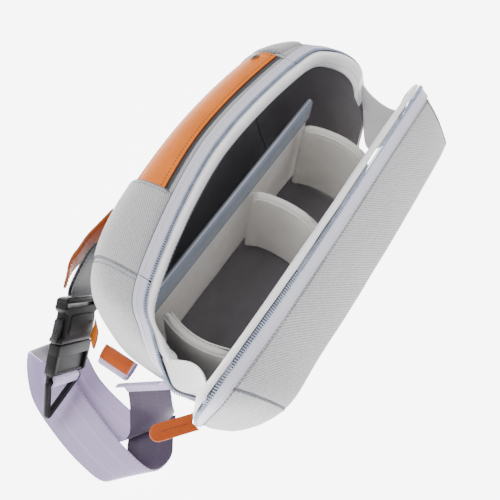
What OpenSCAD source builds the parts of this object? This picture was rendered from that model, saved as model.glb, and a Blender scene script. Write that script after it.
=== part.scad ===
// Soft sling bag with a wide zipped mouth, shown with the mouth open.
// The origin is the middle of the base on the table: +X is the right end, +Y the back, +Z up.

/* [Body] */
// Length over the two ends
bag_length = 330; // [326:1:334]
// Depth of the base, front to back
base_depth = 122; // [121:1:124]
// Height of the zip line at the back
zip_height = 152; // [150:1:154]
// Height at which the zip stops on the ends
zip_end_height = 87; // [86:1:88]

/* [Fabric] */
// Thickness of the canvas
canvas = 2.6; // [2:0.1:2.8]
// Thickness of the padded lining
lining = 2.6; // [2:0.1:2.8]
// Gap between neighbouring layers
gap = 0.4; // [0.3:0.05:0.5]
// Width of the zip tape
tape_width = 11; // [9:1:12]

/* [Straps] */
// Width of the shoulder webbing
webbing_width = 38; // [30:1:38]
// Thickness of the shoulder webbing
webbing_thickness = 1.6; // [1.2:0.1:1.8]
// Width of the leather carry handle
handle_width = 26; // [22:1:27]
// Thickness of the leather
leather = 2.4; // [2:0.1:2.8]

/* [Dividers] */
// Thickness of the padded dividers
divider_thickness = 8; // [6:1:9]
// Height of the padded dividers
divider_height = 92; // [80:1:94]

/* [Hidden] */

half = bag_length / 2;
front_y = -base_depth / 2;
back_y = base_depth / 2;
base_thickness = 3;
floor_z = base_thickness + gap;

// Colours
canvas_grey = [0.74, 0.74, 0.75];
lining_white = [0.92, 0.90, 0.92];
tape_grey = [0.80, 0.81, 0.84];
divider_beige = [0.80, 0.78, 0.75];
tan_leather = [0.84, 0.50, 0.26];
lilac = [0.70, 0.67, 0.74];
charcoal = [0.22, 0.22, 0.23];
pewter = [0.55, 0.55, 0.56];

// ---------- Small vector and curve helpers ----------
function unit(v) = v / norm(v);
function mix(a, b, t) = a + (b - a) * t;
function steps(from, to, count) = [for (i = [0:count]) mix(from, to, i / count)];
function quadratic(a, b, c, t) = mix(mix(a, b, t), mix(b, c, t), t);

// Smooth curve through the points, with s from 0 to 1
function curve(p, s) =
    let (n = len(p) - 1, i = min(floor(s * n), n - 1), t = s * n - i)
    let (a = p[max(i - 1, 0)], b = p[i], c = p[i + 1], d = p[min(i + 2, n)])
    (2 * b + (c - a) * t + (2 * a - 5 * b + 4 * c - d) * t * t
        + (3 * b - a - 3 * c + d) * t * t * t) / 2;

// ---------- The two halves of the shell ----------
// Each half is a row of stations: foot on the base, fold, zip edge, outward bearing and roundness.
REAR = [
    [[-0.80 * half, -42, floor_z], [-0.88 * half, -39, 48], [-0.925 * half, -35, zip_end_height], 180, 0.1],
    [[-0.82 * half, -8, floor_z], [-0.905 * half, 0, 68], [-0.95 * half, -10, 100], 178, 0.5],
    [[-0.78 * half, 33, floor_z], [-0.905 * half, 50, 88], [-0.88 * half, 19, 126], 150, 0.8],
    [[-0.70 * half, back_y - 1, floor_z], [-0.70 * half, 90, 110], [-0.70 * half, 43, 139], 90, 1],
    [[0, back_y, floor_z], [0, 105, 115], [0, 67, zip_height], 90, 1],
    [[0.70 * half, back_y - 1, floor_z], [0.70 * half, 98, 116], [0.70 * half, 61, zip_height + 1], 90, 1],
    [[0.82 * half, 44, floor_z], [0.93 * half, 72, 112], [0.91 * half, 45, 150], 35, 0.9],
    [[0.85 * half, 14, floor_z], [0.99 * half, 20, 90], [0.965 * half, 14, 138], 8, 1],
    [[0.83 * half, -42, floor_z], [0.97 * half, -14, 48], [0.97 * half, -10, zip_end_height], 0, 0.4]
];
FRONT = [
    [[-0.84 * half, -46, floor_z], [-0.965 * half, -48, 48], [-1.02 * half, -44, zip_end_height], 180, 0],
    [[-0.84 * half, -56, floor_z], [-0.93 * half, -70, 80], [-1.03 * half, -46, 126], 195, 0.2],
    [[-0.78 * half, front_y - 1, floor_z], [-0.80 * half, -91, 115], [-0.92 * half, -50, 150], 250, 0.2],
    [[-0.50 * half, front_y - 1, floor_z], [-0.50 * half, -93, 117], [-0.50 * half, -52, 153], 270, 0.1],
    [[0, front_y - 1, floor_z], [0, -94, 118], [0, -52, 155], 270, 0.1],
    [[0.50 * half, front_y - 1, floor_z], [0.50 * half, -93, 118], [0.50 * half, -51, 155], 270, 0.1],
    [[0.80 * half, front_y - 1, floor_z], [0.90 * half, -90, 117], [0.94 * half, -50, 151], 290, 0.2],
    [[0.87 * half, -56, floor_z], [0.99 * half, -71, 86], [1.0 * half, -45, 124], 345, 0.2],
    [[0.88 * half, -46, floor_z], [0.97 * half, -48, 48], [1.0 * half, -44, zip_end_height], 360, 0]
];
// Where the moving middle of the back meets the fixed corners
seam_left = 3 / 8;
seam_right = 5 / 8;
seam_gap = 0.0012;
wall_bow = 3;

function column(half_shell, i) = [for (s = half_shell) s[i]];
REAR_ROWS = [for (i = [0:4]) column(REAR, i)];
FRONT_ROWS = [for (i = [0:4]) column(FRONT, i)];

function outward(rows, u) = let (a = curve(rows[3], u)) [cos(a), sin(a), 0];

// The five points that shape the wall at u: foot, belly, fold, shoulder and zip edge
function wall_shape(rows, u) =
    let (foot = curve(rows[0], u), fold = curve(rows[1], u), edge = curve(rows[2], u))
    let (roundness = curve(rows[4], u), out = outward(rows, u))
    let (soft_belly = [fold.x, fold.y, mix(foot.z, fold.z, 0.45)],
         soft_shoulder = [fold.x, fold.y, mix(fold.z, edge.z, 0.95)],
         crisp_belly = (foot + fold) / 2 + out * wall_bow,
         crisp_shoulder = (fold + edge) / 2 + [0, 0, wall_bow])
    [foot, mix(crisp_belly, soft_belly, roundness), fold,
     mix(crisp_shoulder, soft_shoulder, roundness), edge];

function wall_point(w, v) = v < 0.5
    ? quadratic(w[0], w[1], w[2], 2 * v)
    : quadratic(w[2], w[3], w[4], 2 * v - 1);
// Direction of the wall at v, evened out over a short stretch so that layers stay parallel at the fold
fold_reach = 0.05;
function wall_slope(w, v) =
    wall_point(w, min(v + fold_reach, 1)) - wall_point(w, max(v - fold_reach, 0));
// Outward normal within the upright plane of the station
function wall_normal(w, out, v) =
    let (slope = wall_slope(w, v))
    unit(out * slope.z - [0, 0, 1] * (slope * out));

function layer_ring(rows, u, from_v, to_v, outer, inner, count) =
    let (w = wall_shape(rows, u), out = outward(rows, u), vs = steps(from_v, to_v, count))
    concat(
        [for (v = vs) wall_point(w, v) + outer * wall_normal(w, out, v)],
        [for (k = [count:-1:0]) wall_point(w, vs[k]) + inner * wall_normal(w, out, vs[k])]
    );

// ---------- Closed solids from rows of rings ----------
function middle(ring) = [for (p = ring) 1] * ring / len(ring);
// Six times the volume inside the faces, which is below zero for faces that OpenSCAD reads as outward
function face_volume(points, faces) =
    let (c = middle(points))
    [for (t = faces) 1] * [for (t = faces) (points[t[0]] - c) * cross(points[t[1]] - c, points[t[2]] - c)];

module loft(rings) {
    m = len(rings[0]);
    last = (len(rings) - 1) * m;
    rungs = [0:m / 2 - 2];
    near_cap = [for (i = rungs) each [[i, i + 1, m - 2 - i], [i, m - 2 - i, m - 1 - i]]];
    far_cap = [for (t = near_cap) [last + t[0], last + t[2], last + t[1]]];
    sides = [for (j = [0:len(rings) - 2]) for (i = [0:m - 1])
        let (a = j * m + i, b = j * m + (i + 1) % m)
        // Both faces of a thin sheet are split along the same diagonal
        each i < m / 2 ? [[a, a + m, b], [b, a + m, b + m]] : [[a, a + m, b + m], [a, b + m, b]]];
    faces = concat(sides, near_cap, far_cap);
    points = [for (r = rings) each r];
    polyhedron(points, face_volume(points, faces) < 0 ? faces : [for (t = faces) [t[0], t[2], t[1]]]);
}

module layer(rows, from_u, to_u, from_v, to_v, outer, inner, along = 16, up = 8) {
    loft([for (u = steps(from_u, to_u, along)) layer_ring(rows, u, from_v, to_v, outer, inner, up)]);
}

// A strip with its own profile that follows the zip edge; the profile is [across, above]
module edge_strip(rows, from_u, to_u, profile, along = 24) {
    loft([for (u = steps(from_u, to_u, along))
        let (w = wall_shape(rows, u), out = outward(rows, u))
        let (inward = unit(wall_slope(w, 1)), n = wall_normal(w, out, 1))
        let (above = unit(n - inward * (n * inward)))
        [for (p = profile) w[4] + inward * p[0] + above * p[1]]]);
}

// A flat band along stations of [centre, width direction]
function ribbon_ring(stations, s, width, thickness) =
    let (centres = column(stations, 0), sides = column(stations, 1), step = 0.01)
    let (c = curve(centres, s), side = unit(curve(sides, s)))
    let (ahead = curve(centres, min(s + step, 1)) - curve(centres, max(s - step, 0)))
    let (face = unit(cross(ahead, side)), w = side * width / 2, t = face * thickness / 2)
    [c - w - t, c - w + t, c + w + t, c + w - t];

module ribbon(stations, width, thickness, rings = 40) {
    loft([for (s = steps(0, 1, rings)) ribbon_ring(stations, s, width, thickness)]);
}

// Width direction of a strap from its bearing on the table and its tilt
function lie(bearing, tilt = 0) = [cos(bearing) * cos(tilt), sin(bearing) * cos(tilt), sin(tilt)];

module rounded_plate(length, depth, thickness, radius) {
    linear_extrude(thickness) {
        square([length - 2 * radius, depth], center = true);
        square([length, depth - 2 * radius], center = true);
        for (x = [-1, 1], y = [-1, 1])
            translate([x * (length / 2 - radius), y * (depth / 2 - radius)]) circle(radius, $fn = 48);
    }
}

// ---------- Base ----------
base_length = 1.64 * half;
corner_radius = 16;

module base_panel() {
    color(canvas_grey) rounded_plate(base_length, base_depth + 2, base_thickness, corner_radius);
}

pad_thickness = 5;
pad_inset = 2 * (canvas + lining) + 4;
module floor_pad() {
    color(divider_beige)
        translate([0, 3, floor_z])
            rounded_plate(1.56 * half - pad_inset, base_depth - 2 * pad_inset, pad_thickness, 9);
}

// ---------- Fixed ends ----------
// Where the linings stop on the walls
lining_top_v = 0.97;
module left_end_panel() { color(canvas_grey) layer(REAR_ROWS, 0, seam_left - seam_gap, 0, 1, 0, -canvas); }
module right_end_panel() { color(canvas_grey) layer(REAR_ROWS, seam_right + seam_gap, 1, 0, 1, 0, -canvas); }

lining_gap = 3 * gap;
lining_outer = -canvas - lining_gap;
lining_inner = lining_outer - lining;
module left_end_lining() {
    color(lining_white)
        layer(REAR_ROWS, 0, seam_left - seam_gap, 0.01, lining_top_v, lining_outer, lining_inner);
}
module right_end_lining() {
    color(lining_white)
        layer(REAR_ROWS, seam_right + seam_gap, 1, 0.01, lining_top_v, lining_outer, lining_inner);
}

// ---------- Zip ----------
tape_lift = 0.8;
// Tape from its outer edge to the coil, which stands at the given reach; each point is [across, above]
function zip_profile(outer, reach) = [for (p = [
    [outer - reach, 0], [0.6, 0], [1.2, -1.2], [3, -1.2], [4.2, 0],
    [4.2, 1.2], [3, 2], [1.2, 2], [0.6, 1], [outer - reach, 1]
]) p + [reach, tape_lift]];
rear_tape_from = -2;
rear_reach = 6;

module rear_zip(from_u, to_u, along) {
    color(tape_grey) edge_strip(REAR_ROWS, from_u, to_u, zip_profile(rear_tape_from, rear_reach), along);
}
module rear_zip_left() { rear_zip(0, seam_left - seam_gap, 16); }
module rear_zip_centre() { rear_zip(seam_left + seam_gap, seam_right - seam_gap, 12); }
module rear_zip_right() { rear_zip(seam_right + seam_gap, 1, 24); }
module front_zip() { color(tape_grey) edge_strip(FRONT_ROWS, 0, 1, zip_profile(-tape_width, 0), 44); }

// Padded roll of lining just inside the rear zip
lip_drop = 15;
lip_reach = 9;
LIP_PROFILE = [
    [0, -1.2], [4, -1.6], [5.5, -4.5], [4, -9], [1, -lip_drop + 1], [-1, -lip_drop], [-2, -lip_drop + 2], [-1, -5]
];
module lip(from_u, to_u, along) {
    color(lining_white)
        edge_strip(REAR_ROWS, from_u, to_u, [for (p = LIP_PROFILE) p + [lip_reach, 0]], along);
}
module lip_left() { lip(0.11, seam_left - seam_gap, 16); }
module lip_centre() { lip(seam_left + seam_gap, seam_right - seam_gap, 12); }
module lip_right() { lip(seam_right + seam_gap, 0.96, 16); }

// ---------- Moving middle of the back ----------
module back_layer(from_v, to_v, outer, inner, up = 8) {
    layer(REAR_ROWS, seam_left + seam_gap, seam_right - seam_gap, from_v, to_v, outer, inner, 12, up);
}
module back_panel() { color(canvas_grey) back_layer(0.012, 0.5, 0, -canvas); }
module rear_top_gusset() { color(canvas_grey) back_layer(0.503, 1, 0, -canvas); }
module back_lining() { color(lining_white) back_layer(0.06, lining_top_v, lining_outer, lining_inner, 12); }

// ---------- Carry handle ----------
// u at a given x along the straight back
function back_u(x) = 0.5 + (seam_right - 0.5) * x / (0.70 * half);
handle_from = -47;
handle_to = 111;
end_length = 18;
grip_height = 1.2;
handle_v = 0.81;
handle_half_v = 0.0041 * handle_width;

module band(from_x, to_x, bottom, thickness, half_v, along = 8) {
    layer(REAR_ROWS, back_u(from_x), back_u(to_x), handle_v - half_v, handle_v + half_v,
          bottom + thickness, bottom, along, 5);
}
module handle_left_end() {
    color(tan_leather) band(handle_from, handle_from + end_length, grip_height, leather, handle_half_v, 3);
}
module handle_grip() {
    color(tan_leather)
        band(handle_from + end_length + gap, handle_to - end_length - gap, grip_height, leather,
             handle_half_v, 12);
}
module handle_right_end() {
    color(tan_leather) band(handle_to - end_length, handle_to, grip_height, leather, handle_half_v, 3);
}
module sleeve_left() { color(canvas_grey) band(-0.695 * half, handle_from - gap, gap, 2.4, 0.16, 6); }
module sleeve_right() {
    color(canvas_grey) layer(REAR_ROWS, 0.6265, 0.70, 0.66, 0.93, gap + 2, gap, 6, 5);
}

// Moves children onto the shell at u and v, with +Z along the outward normal
module on_back(u, v, lift) {
    w = wall_shape(REAR_ROWS, u);
    n = wall_normal(w, outward(REAR_ROWS, u), v);
    translate(wall_point(w, v) + lift * n) rotate([-atan2(n.y, n.z), 0, 0]) children();
}
rivet_radius = 4.5;
module handle_rivet() {
    color(pewter) on_back(back_u(handle_to - end_length / 2), handle_v, grip_height + leather + 0.5) {
        cylinder(h = 1, r = rivet_radius, $fn = 40);
        translate([0, 0, 1]) cylinder(h = 0.8, r = rivet_radius - 1.5, $fn = 40);
    }
}

// ---------- Front half ----------
corner_left = 0.249;
corner_right = 0.751;
module front_layer(from_u, to_u, from_v, to_v, along, up) {
    color(canvas_grey) layer(FRONT_ROWS, from_u, to_u, from_v, to_v, 0, -canvas, along, up);
}
module front_panel() { front_layer(0.25, 0.75, 0.012, 0.5, 12, 8); }
module front_top_gusset() { front_layer(0.25, 0.75, 0.503, 1, 12, 8); }
module front_left_corner() { front_layer(0, corner_left, 0.012, 1, 10, 10); }
module front_right_corner() { front_layer(corner_right, 1, 0.012, 1, 10, 10); }
module front_lining() {
    color(lining_white) layer(FRONT_ROWS, 0.16, 0.84, 0.06, lining_top_v, lining_outer, lining_inner, 36, 14);
}

// Short leather tab held by the left end of the zip, with a notch at the zip and a round tip
tab_length = 35;
tab_width = 13;
module zip_end_tab() {
    color(tan_leather) translate([-167, -41, 84]) rotate([0, 0, 140]) linear_extrude(leather)
        difference() {
            union() {
                translate([0, -tab_width / 2]) square([tab_length - tab_width / 2, tab_width]);
                translate([tab_length - tab_width / 2, 0]) circle(tab_width / 2, $fn = 40);
            }
            polygon([[-1, -tab_width / 2 + 2], [4, 0], [-1, tab_width / 2 - 2]]);
        }
}

// Slider at the right end of the zip with its hanging pull
slider_place = [170.5, -36, 89];
module zip_slider() {
    color(pewter) translate(slider_place) {
        translate([-3.2, 0, 0]) cube([1.4, 6.5, 11], center = true);
        translate([1.0, 0, 0]) cube([1.4, 6.5, 11], center = true);
        translate([-1.2, 0, 3.5]) cube([3.2, 2, 4], center = true);
        for (z = [-3.2, 3.2]) translate([2.5, 0, z]) cube([2, 2, 1.2], center = true);
        translate([3.2, 0, 0]) cube([1, 2, 7.6], center = true);
    }
}
pull_axis = [175.2, -36, 90];
module zip_pull() {
    color(tan_leather) translate(pull_axis) {
        rotate([90, 0, 0]) translate([0, 0, -3]) cylinder(h = 6, r = 0.9, $fn = 24);
        translate([0, 0, -18]) rotate([0, 90, 0]) linear_extrude(2, center = true) {
            square([36, 8], center = true);
            translate([18, 0]) circle(4, $fn = 32);
        }
    }
}

// ---------- Side gussets in the mouth ----------
gore_thickness = 1.6;
// Sheet between the zip edges of the two halves, with its thickness towards the middle of the bag
module gore(rear_us, front_us, inward) {
    rings = [for (i = [0:6])
        let (u = mix(rear_us[0], rear_us[1], i / 6), f = mix(front_us[0], front_us[1], i / 6))
        let (a = curve(REAR_ROWS[2], u) - outward(REAR_ROWS, u) * 21 - [0, 0, 7])
        let (b = curve(FRONT_ROWS[2], f) - outward(FRONT_ROWS, f) * 10 - [0, 0, 6])
        let (sag = [inward * 4, 0, -0.2 * norm(a - b)], thick = [inward * gore_thickness, 0, 0])
        let (top = [for (t = steps(0.06, 0.94, 6)) quadratic(a, (a + b) / 2 + sag, b, t)])
        concat(top, [for (k = [6:-1:0]) top[k] + thick])];
    color(lining_white) loft(rings);
}
module left_gore() { gore([0.09, 0.15], [0.065, 0.125], 1); }
module right_gore() { gore([0.97, 0.9], [0.955, 0.885], -1); }

// ---------- Dividers ----------
divider_floor = floor_z + pad_thickness + gap;
divider_front = -40;
divider_back = 29;
slip_front = 33;
slip_thickness = 4;
slip_height = 100;
module bowed_slab(x, bow) {
    depth = divider_back - divider_front;
    radius = (depth * depth / 4 + bow * bow) / (2 * abs(bow));
    side = sign(bow);
    color(divider_beige) translate([x, (divider_front + divider_back) / 2, divider_floor])
        linear_extrude(divider_height) intersection() {
            translate([side * (bow * side - radius), 0]) difference() {
                circle(radius, $fn = 160);
                circle(radius - divider_thickness, $fn = 160);
            }
            translate([side > 0 ? -divider_thickness : -bow * side - 1, -depth / 2])
                square([divider_thickness + bow * side + 1, depth]);
        }
}
module divider_left() { bowed_slab(-112, -10); }
module divider_middle() { bowed_slab(16, 7); }
module divider_right() { bowed_slab(106, 9); }

slip_length = 1.5 * half;
module slip_divider() {
    color(divider_beige)
        translate([-slip_length / 2, slip_front, divider_floor]) cube([slip_length, slip_thickness, slip_height]);
}
binding_radius = 3;
module slip_divider_binding() {
    color([0.45, 0.50, 0.56])
        translate([-slip_length / 2, slip_front + slip_thickness / 2, divider_floor + slip_height + gap])
            translate([0, 0, binding_radius]) rotate([0, 90, 0])
                cylinder(h = slip_length, r = binding_radius, $fn = 32);
}

// ---------- Left anchor, buckle and straps ----------
module anchor_strap_left() {
    color(tan_leather) ribbon([
        [[-72, 103.5, 104], [0, 0.2, 1]], [[-88, 106, 102], [0, 0.1, 1]],
        [[-102, 109, 99], [0.1, 0, 1]], [[-114.4, 110.5, 95], [0.2, -0.1, 1]]
    ], 26, leather, 8);
}
module anchor_loop_left() {
    color(tan_leather) ribbon([
        [[-115.4, 110.6, 94.6], [0.2, -0.1, 1]], [[-121, 111.5, 92], [0.3, -0.1, 1]],
        [[-127, 111, 89], [0.35, -0.1, 1]], [[-132, 109, 87], [0.4, -0.1, 1]]
    ], 30, leather, 8);
}
module anchor_loop_right() {
    color(tan_leather) ribbon([
        [[126, 106, 104], [0, 0, 1]], [[140, 106, 103], [0.1, 0, 1]],
        [[153, 101, 101], [0.2, 0, 1]], [[163, 92, 98], [0.3, 0, 1]]
    ], 30, leather, 8);
}

// The buckle hangs in its own frame: x across, y towards the back, z up along its length
buckle_origin = [-146, 95, 89];
buckle_across = unit([6, -1, -8]);
buckle_lean = unit([8, 3, 5.6]);
buckle_up = unit(buckle_lean - buckle_across * (buckle_across * buckle_lean));
buckle_back = cross(buckle_up, buckle_across);
module in_buckle_frame() {
    x = buckle_across;
    y = buckle_back;
    z = buckle_up;
    o = buckle_origin;
    multmatrix([[x.x, y.x, z.x, o.x], [x.y, y.y, z.y, o.y], [x.z, y.z, z.z, o.z], [0, 0, 0, 1]]) children();
}
function buckle_point(p) = buckle_origin + buckle_across * p.x + buckle_back * p.y + buckle_up * p.z;

buckle_width = 46;
buckle_depth = 12;
socket_length = 37;
plug_length = 26;
wall = 3;
module buckle_socket() {
    color(charcoal) in_buckle_frame() difference() {
        translate([0, 0, -socket_length]) cube([buckle_width, buckle_depth, socket_length]);
        // Mouth for the plug's tongue and prongs
        translate([wall, wall, -socket_length - 1])
            cube([buckle_width - 2 * wall, buckle_depth - 2 * wall, socket_length - 11]);
        // Side slots for the prongs
        for (x = [-1, buckle_width - wall - 1])
            translate([x, wall, -socket_length - 1]) cube([wall + 2, buckle_depth - 2 * wall, 24]);
        // Slot for the black webbing
        translate([3, -1, -7]) cube([buckle_width - 6, buckle_depth + 2, 3.2]);
    }
}
plug_top = -socket_length - gap;
module buckle_plug() {
    color(charcoal) in_buckle_frame() {
        difference() {
            translate([1, 0.5, plug_top - plug_length]) cube([buckle_width - 2, buckle_depth - 1, plug_length]);
            for (z = [-12, -21]) translate([5, -1, plug_top + z]) cube([buckle_width - 10, buckle_depth + 2, 3.2]);
        }
        translate([buckle_width / 2 - 4, wall + 1, plug_top]) cube([8, buckle_depth - 2 * wall - 2, 20]);
    }
}
prong_length = 20;
module prong(x) {
    color(charcoal) in_buckle_frame() translate([x, wall + 0.5, plug_top + 0.5])
        cube([6, buckle_depth - 2 * wall - 1, prong_length]);
}
module prong_near() { prong(-1.5); }
module prong_far() { prong(buckle_width - 4.5); }

ring_axis = [0, 6, -69.2];
ring_radius = 2.2;
ring_bar_radius = 2.6;
RING = [[3, 0], [43, 0], [10, -31]];
module ring_leg(a, b) {
    translate(a) rotate(atan2(b.y - a.y, b.x - a.x)) translate([0, -ring_radius])
        square([norm(b - a), 2 * ring_radius]);
    translate(a) circle(ring_radius + 0.3, $fn = 32);
}
module pull_ring() {
    color(charcoal) in_buckle_frame() translate(ring_axis) {
        translate([RING[0].x - 1, 0, 0]) rotate([0, 90, 0])
            cylinder(h = RING[1].x - RING[0].x + 2, r = ring_bar_radius, $fn = 32);
        rotate([90, 0, 0]) linear_extrude(4, center = true) {
            ring_leg(RING[1], RING[2]);
            ring_leg(RING[2], RING[0]);
        }
    }
}
module adjuster_webbing() {
    color(lilac) in_buckle_frame() translate(ring_axis + [6.5, 0, 0]) rotate([0, 90, 0]) difference() {
        cylinder(h = 27, r = 5, $fn = 40);
        translate([0, 0, -1]) cylinder(h = 29, r = 5 - webbing_thickness, $fn = 40);
    }
}
module anchor_webbing() {
    for (shift = [0, 3.2])
        color(charcoal) translate(buckle_back * shift) ribbon([
            [[-100, 97, 97], [0.05, 0, -1]], [[-110, 98, 94], [0.2, 0, -1]],
            [buckle_point([23, 3.5, 10]), buckle_across], [buckle_point([23, 3.5, 1]), buckle_across]
        ], webbing_width - 8, 1.4, 10);
}

// The run from the adjuster: down to the table, along beside the bag and back under itself
module strap_front_run() {
    color(lilac) ribbon([
        [buckle_point([22, 14.5, -55]), buckle_across], [[-172, 105, 34], lie(-25, -20)],
        [[-184, 100, 18], lie(-30, -10)], [[-198, 84, 7], lie(-30)],
        [[-210, 50, 11], lie(-35, 5)], [[-218, 15, 14], lie(-40, 10)],
        [[-218, -10, 10], lie(-45, 5)], [[-200, -14, 3], lie(-50)],
        [[-185, -6, 1.8], lie(-50)], [[-169, 3, 1.6], lie(-50)]
    ], webbing_width, webbing_thickness, 60);
}
// The run that starts under the adjuster: flat under the other run, then up beside the left end
module strap_back_run() {
    color(lilac) ribbon([
        [[-174, 93, 3], lie(-25)], [[-184, 72, 2], lie(-28)], [[-190, 45, 3], lie(-28)],
        [[-192, 20, 5], lie(-30)], [[-187, 4, 8], lie(-35, 5)], [[-176, -1, 15], lie(-35, 5)],
        [[-167, 5, 25], lie(-58, 20)], [[-157, 14, 38], lie(-60, 22)]
    ], webbing_width, webbing_thickness, 52);
}
loop_width = 28;
module side_loop() {
    color(lilac) ribbon([
        [[-149, 46, 49], lie(90)], [[-157, 46, 48], lie(90)], [[-163, 46, 43], lie(90)],
        [[-161, 46, 37], lie(90)], [[-153, 46, 37], lie(90)], [[-147, 46, 40], lie(90)]
    ], loop_width, webbing_thickness, 14);
}
module side_loop_patch() {
    color(tan_leather) ribbon([
        [[-151, 45, 57], lie(90)], [[-156, 45, 55], lie(90)], [[-161, 45, 51], lie(90)]
    ], loop_width, leather, 6);
}
module corner_pull() {
    color(tan_leather) ribbon([
        [[-140, 80, 45], lie(50)], [[-146, 77, 44], lie(50)], [[-153, 75, 41], lie(50)]
    ], 12, leather, 4);
}

base_panel();
floor_pad();
left_end_panel();
right_end_panel();
left_end_lining();
right_end_lining();
rear_zip_left();
rear_zip_right();
lip_left();
lip_right();
slip_divider();
slip_divider_binding();
left_gore();
right_gore();
back_panel();
rear_top_gusset();
back_lining();
rear_zip_centre();
lip_centre();
handle_left_end();
handle_right_end();
handle_grip();
sleeve_left();
sleeve_right();
handle_rivet();
anchor_strap_left();
front_panel();
front_top_gusset();
front_left_corner();
front_right_corner();
front_lining();
front_zip();
zip_end_tab();
zip_slider();
zip_pull();
divider_left();
divider_middle();
divider_right();
anchor_loop_left();
anchor_loop_right();
anchor_webbing();
buckle_socket();
buckle_plug();
prong_near();
prong_far();
pull_ring();
adjuster_webbing();
strap_front_run();
strap_back_run();
side_loop();
side_loop_patch();
corner_pull();
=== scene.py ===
"""Looks for the camera bag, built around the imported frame."""

from math import cos, pi, radians, sin, sqrt

import bmesh
import bpy
import numpy as np
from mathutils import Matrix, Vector, noise


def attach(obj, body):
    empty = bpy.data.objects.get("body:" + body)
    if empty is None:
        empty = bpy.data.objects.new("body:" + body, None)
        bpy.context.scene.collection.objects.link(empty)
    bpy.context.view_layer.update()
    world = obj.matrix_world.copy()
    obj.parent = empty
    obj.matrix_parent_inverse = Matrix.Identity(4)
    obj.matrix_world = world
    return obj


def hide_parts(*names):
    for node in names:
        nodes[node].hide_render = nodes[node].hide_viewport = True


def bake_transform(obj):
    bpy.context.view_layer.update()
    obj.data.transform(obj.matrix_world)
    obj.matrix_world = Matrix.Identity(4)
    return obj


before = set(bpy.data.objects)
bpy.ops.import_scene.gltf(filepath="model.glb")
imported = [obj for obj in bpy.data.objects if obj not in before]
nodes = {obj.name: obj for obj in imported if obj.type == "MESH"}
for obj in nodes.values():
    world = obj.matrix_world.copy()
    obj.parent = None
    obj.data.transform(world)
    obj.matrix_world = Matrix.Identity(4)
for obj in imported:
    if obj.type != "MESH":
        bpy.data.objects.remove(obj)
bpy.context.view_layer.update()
MM = 0.001
WHITE = (1, 1, 1, 1)


# ---------- Camera, floor and light ----------
def srgb(r, g, b):
    """Linear colour of an 8-bit screen colour."""
    part = [c / 255 for c in (r, g, b)]
    return [c / 12.92 if c <= 0.04045 else ((c + 0.055) / 1.055) ** 2.4 for c in part] + [1.0]


def add_object(name, data):
    obj = bpy.data.objects.new(name, data)
    bpy.context.scene.collection.objects.link(obj)
    return obj


def add_camera():
    """Long side of the bag seen from above its front left corner, with the picture rolled over."""
    data = bpy.data.cameras.new("camera")
    data.lens = 44.44
    data.sensor_width = 36
    data.clip_start = 0.01
    camera = add_object("camera", data)
    camera.location = (-0.2538, -0.1029, 0.5379)
    camera.rotation_euler = [radians(a) for a in (28.78, -4.14, -57.56)]
    bpy.context.scene.camera = camera


def add_light(name, place, size, power):
    data = bpy.data.lights.new(name, "AREA")
    data.shape = "DISK"
    data.size = size
    data.energy = power
    light = add_object(name, data)
    light.location = place
    light.rotation_euler = (Vector((0, 0, 0.1)) - Vector(place)).to_track_quat("-Z", "Y").to_euler()


def add_studio():
    """A bright white floor under an even white sky, with a key and a fill light."""
    world = bpy.data.worlds.new("studio")
    world.use_nodes = True
    sky = world.node_tree.nodes["Background"].inputs
    sky[0].default_value = WHITE
    sky[1].default_value = 1.0
    bpy.context.scene.world = world
    add_light("key", (-0.5, 0.9, 1.5), 1.1, 20)
    add_light("fill", (0.9, -1.0, 1.2), 1.4, 8)
    mesh = bpy.data.meshes.new("floor")
    mesh.from_pydata([(-6, -6, 0), (6, -6, 0), (6, 6, 0), (-6, 6, 0)], [], [(0, 1, 2, 3)])
    paint = Wiring("floor", (0.93, 0.93, 0.93, 1), 0.9)
    paint.shader["Emission Color"].default_value = WHITE
    paint.shader["Emission Strength"].default_value = 6.0
    mesh.materials.append(paint.material)
    add_object("floor", mesh)


# ---------- The two halves of the shell, in millimetres ----------
HALF = 165
FLOOR_Z = 3.4
CANVAS_THICK = 2.4
LINING_FROM = 3.9
LINING_TO = 6.4
# Each row: foot x y, fold x y z, zip edge x y z, bearing in degrees, roundness; x is a share of HALF
REAR = [
    (-0.80, -42, -0.88, -39, 48, -0.925, -35, 87, 180, 0.1),
    (-0.82, -8, -0.905, 0, 68, -0.95, -10, 100, 178, 0.5),
    (-0.78, 33, -0.905, 50, 88, -0.88, 19, 126, 150, 0.8),
    (-0.70, 60, -0.70, 90, 110, -0.70, 43, 139, 90, 1),
    (0, 61, 0, 105, 115, 0, 67, 152, 90, 1),
    (0.70, 60, 0.70, 98, 116, 0.70, 61, 153, 90, 1),
    (0.82, 44, 0.93, 72, 112, 0.91, 45, 150, 35, 0.9),
    (0.85, 14, 0.99, 20, 90, 0.965, 14, 138, 8, 1),
    (0.83, -42, 0.97, -14, 48, 0.97, -10, 87, 0, 0.4),
]
FRONT = [
    (-0.84, -46, -0.965, -48, 48, -1.02, -44, 87, 180, 0),
    (-0.84, -56, -0.93, -70, 80, -1.03, -46, 126, 195, 0.2),
    (-0.78, -62, -0.80, -91, 115, -0.92, -50, 150, 250, 0.2),
    (-0.50, -62, -0.50, -93, 117, -0.50, -52, 153, 270, 0.1),
    (0, -62, 0, -94, 118, 0, -52, 155, 270, 0.1),
    (0.50, -62, 0.50, -93, 118, 0.50, -51, 155, 270, 0.1),
    (0.80, -62, 0.90, -90, 117, 0.94, -50, 151, 290, 0.2),
    (0.87, -56, 0.99, -71, 86, 1.0, -45, 124, 345, 0.2),
    (0.88, -46, 0.97, -48, 48, 1.0, -44, 87, 360, 0),
]
SEAM_LEFT = 0.375
SEAM_RIGHT = 0.625


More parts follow.
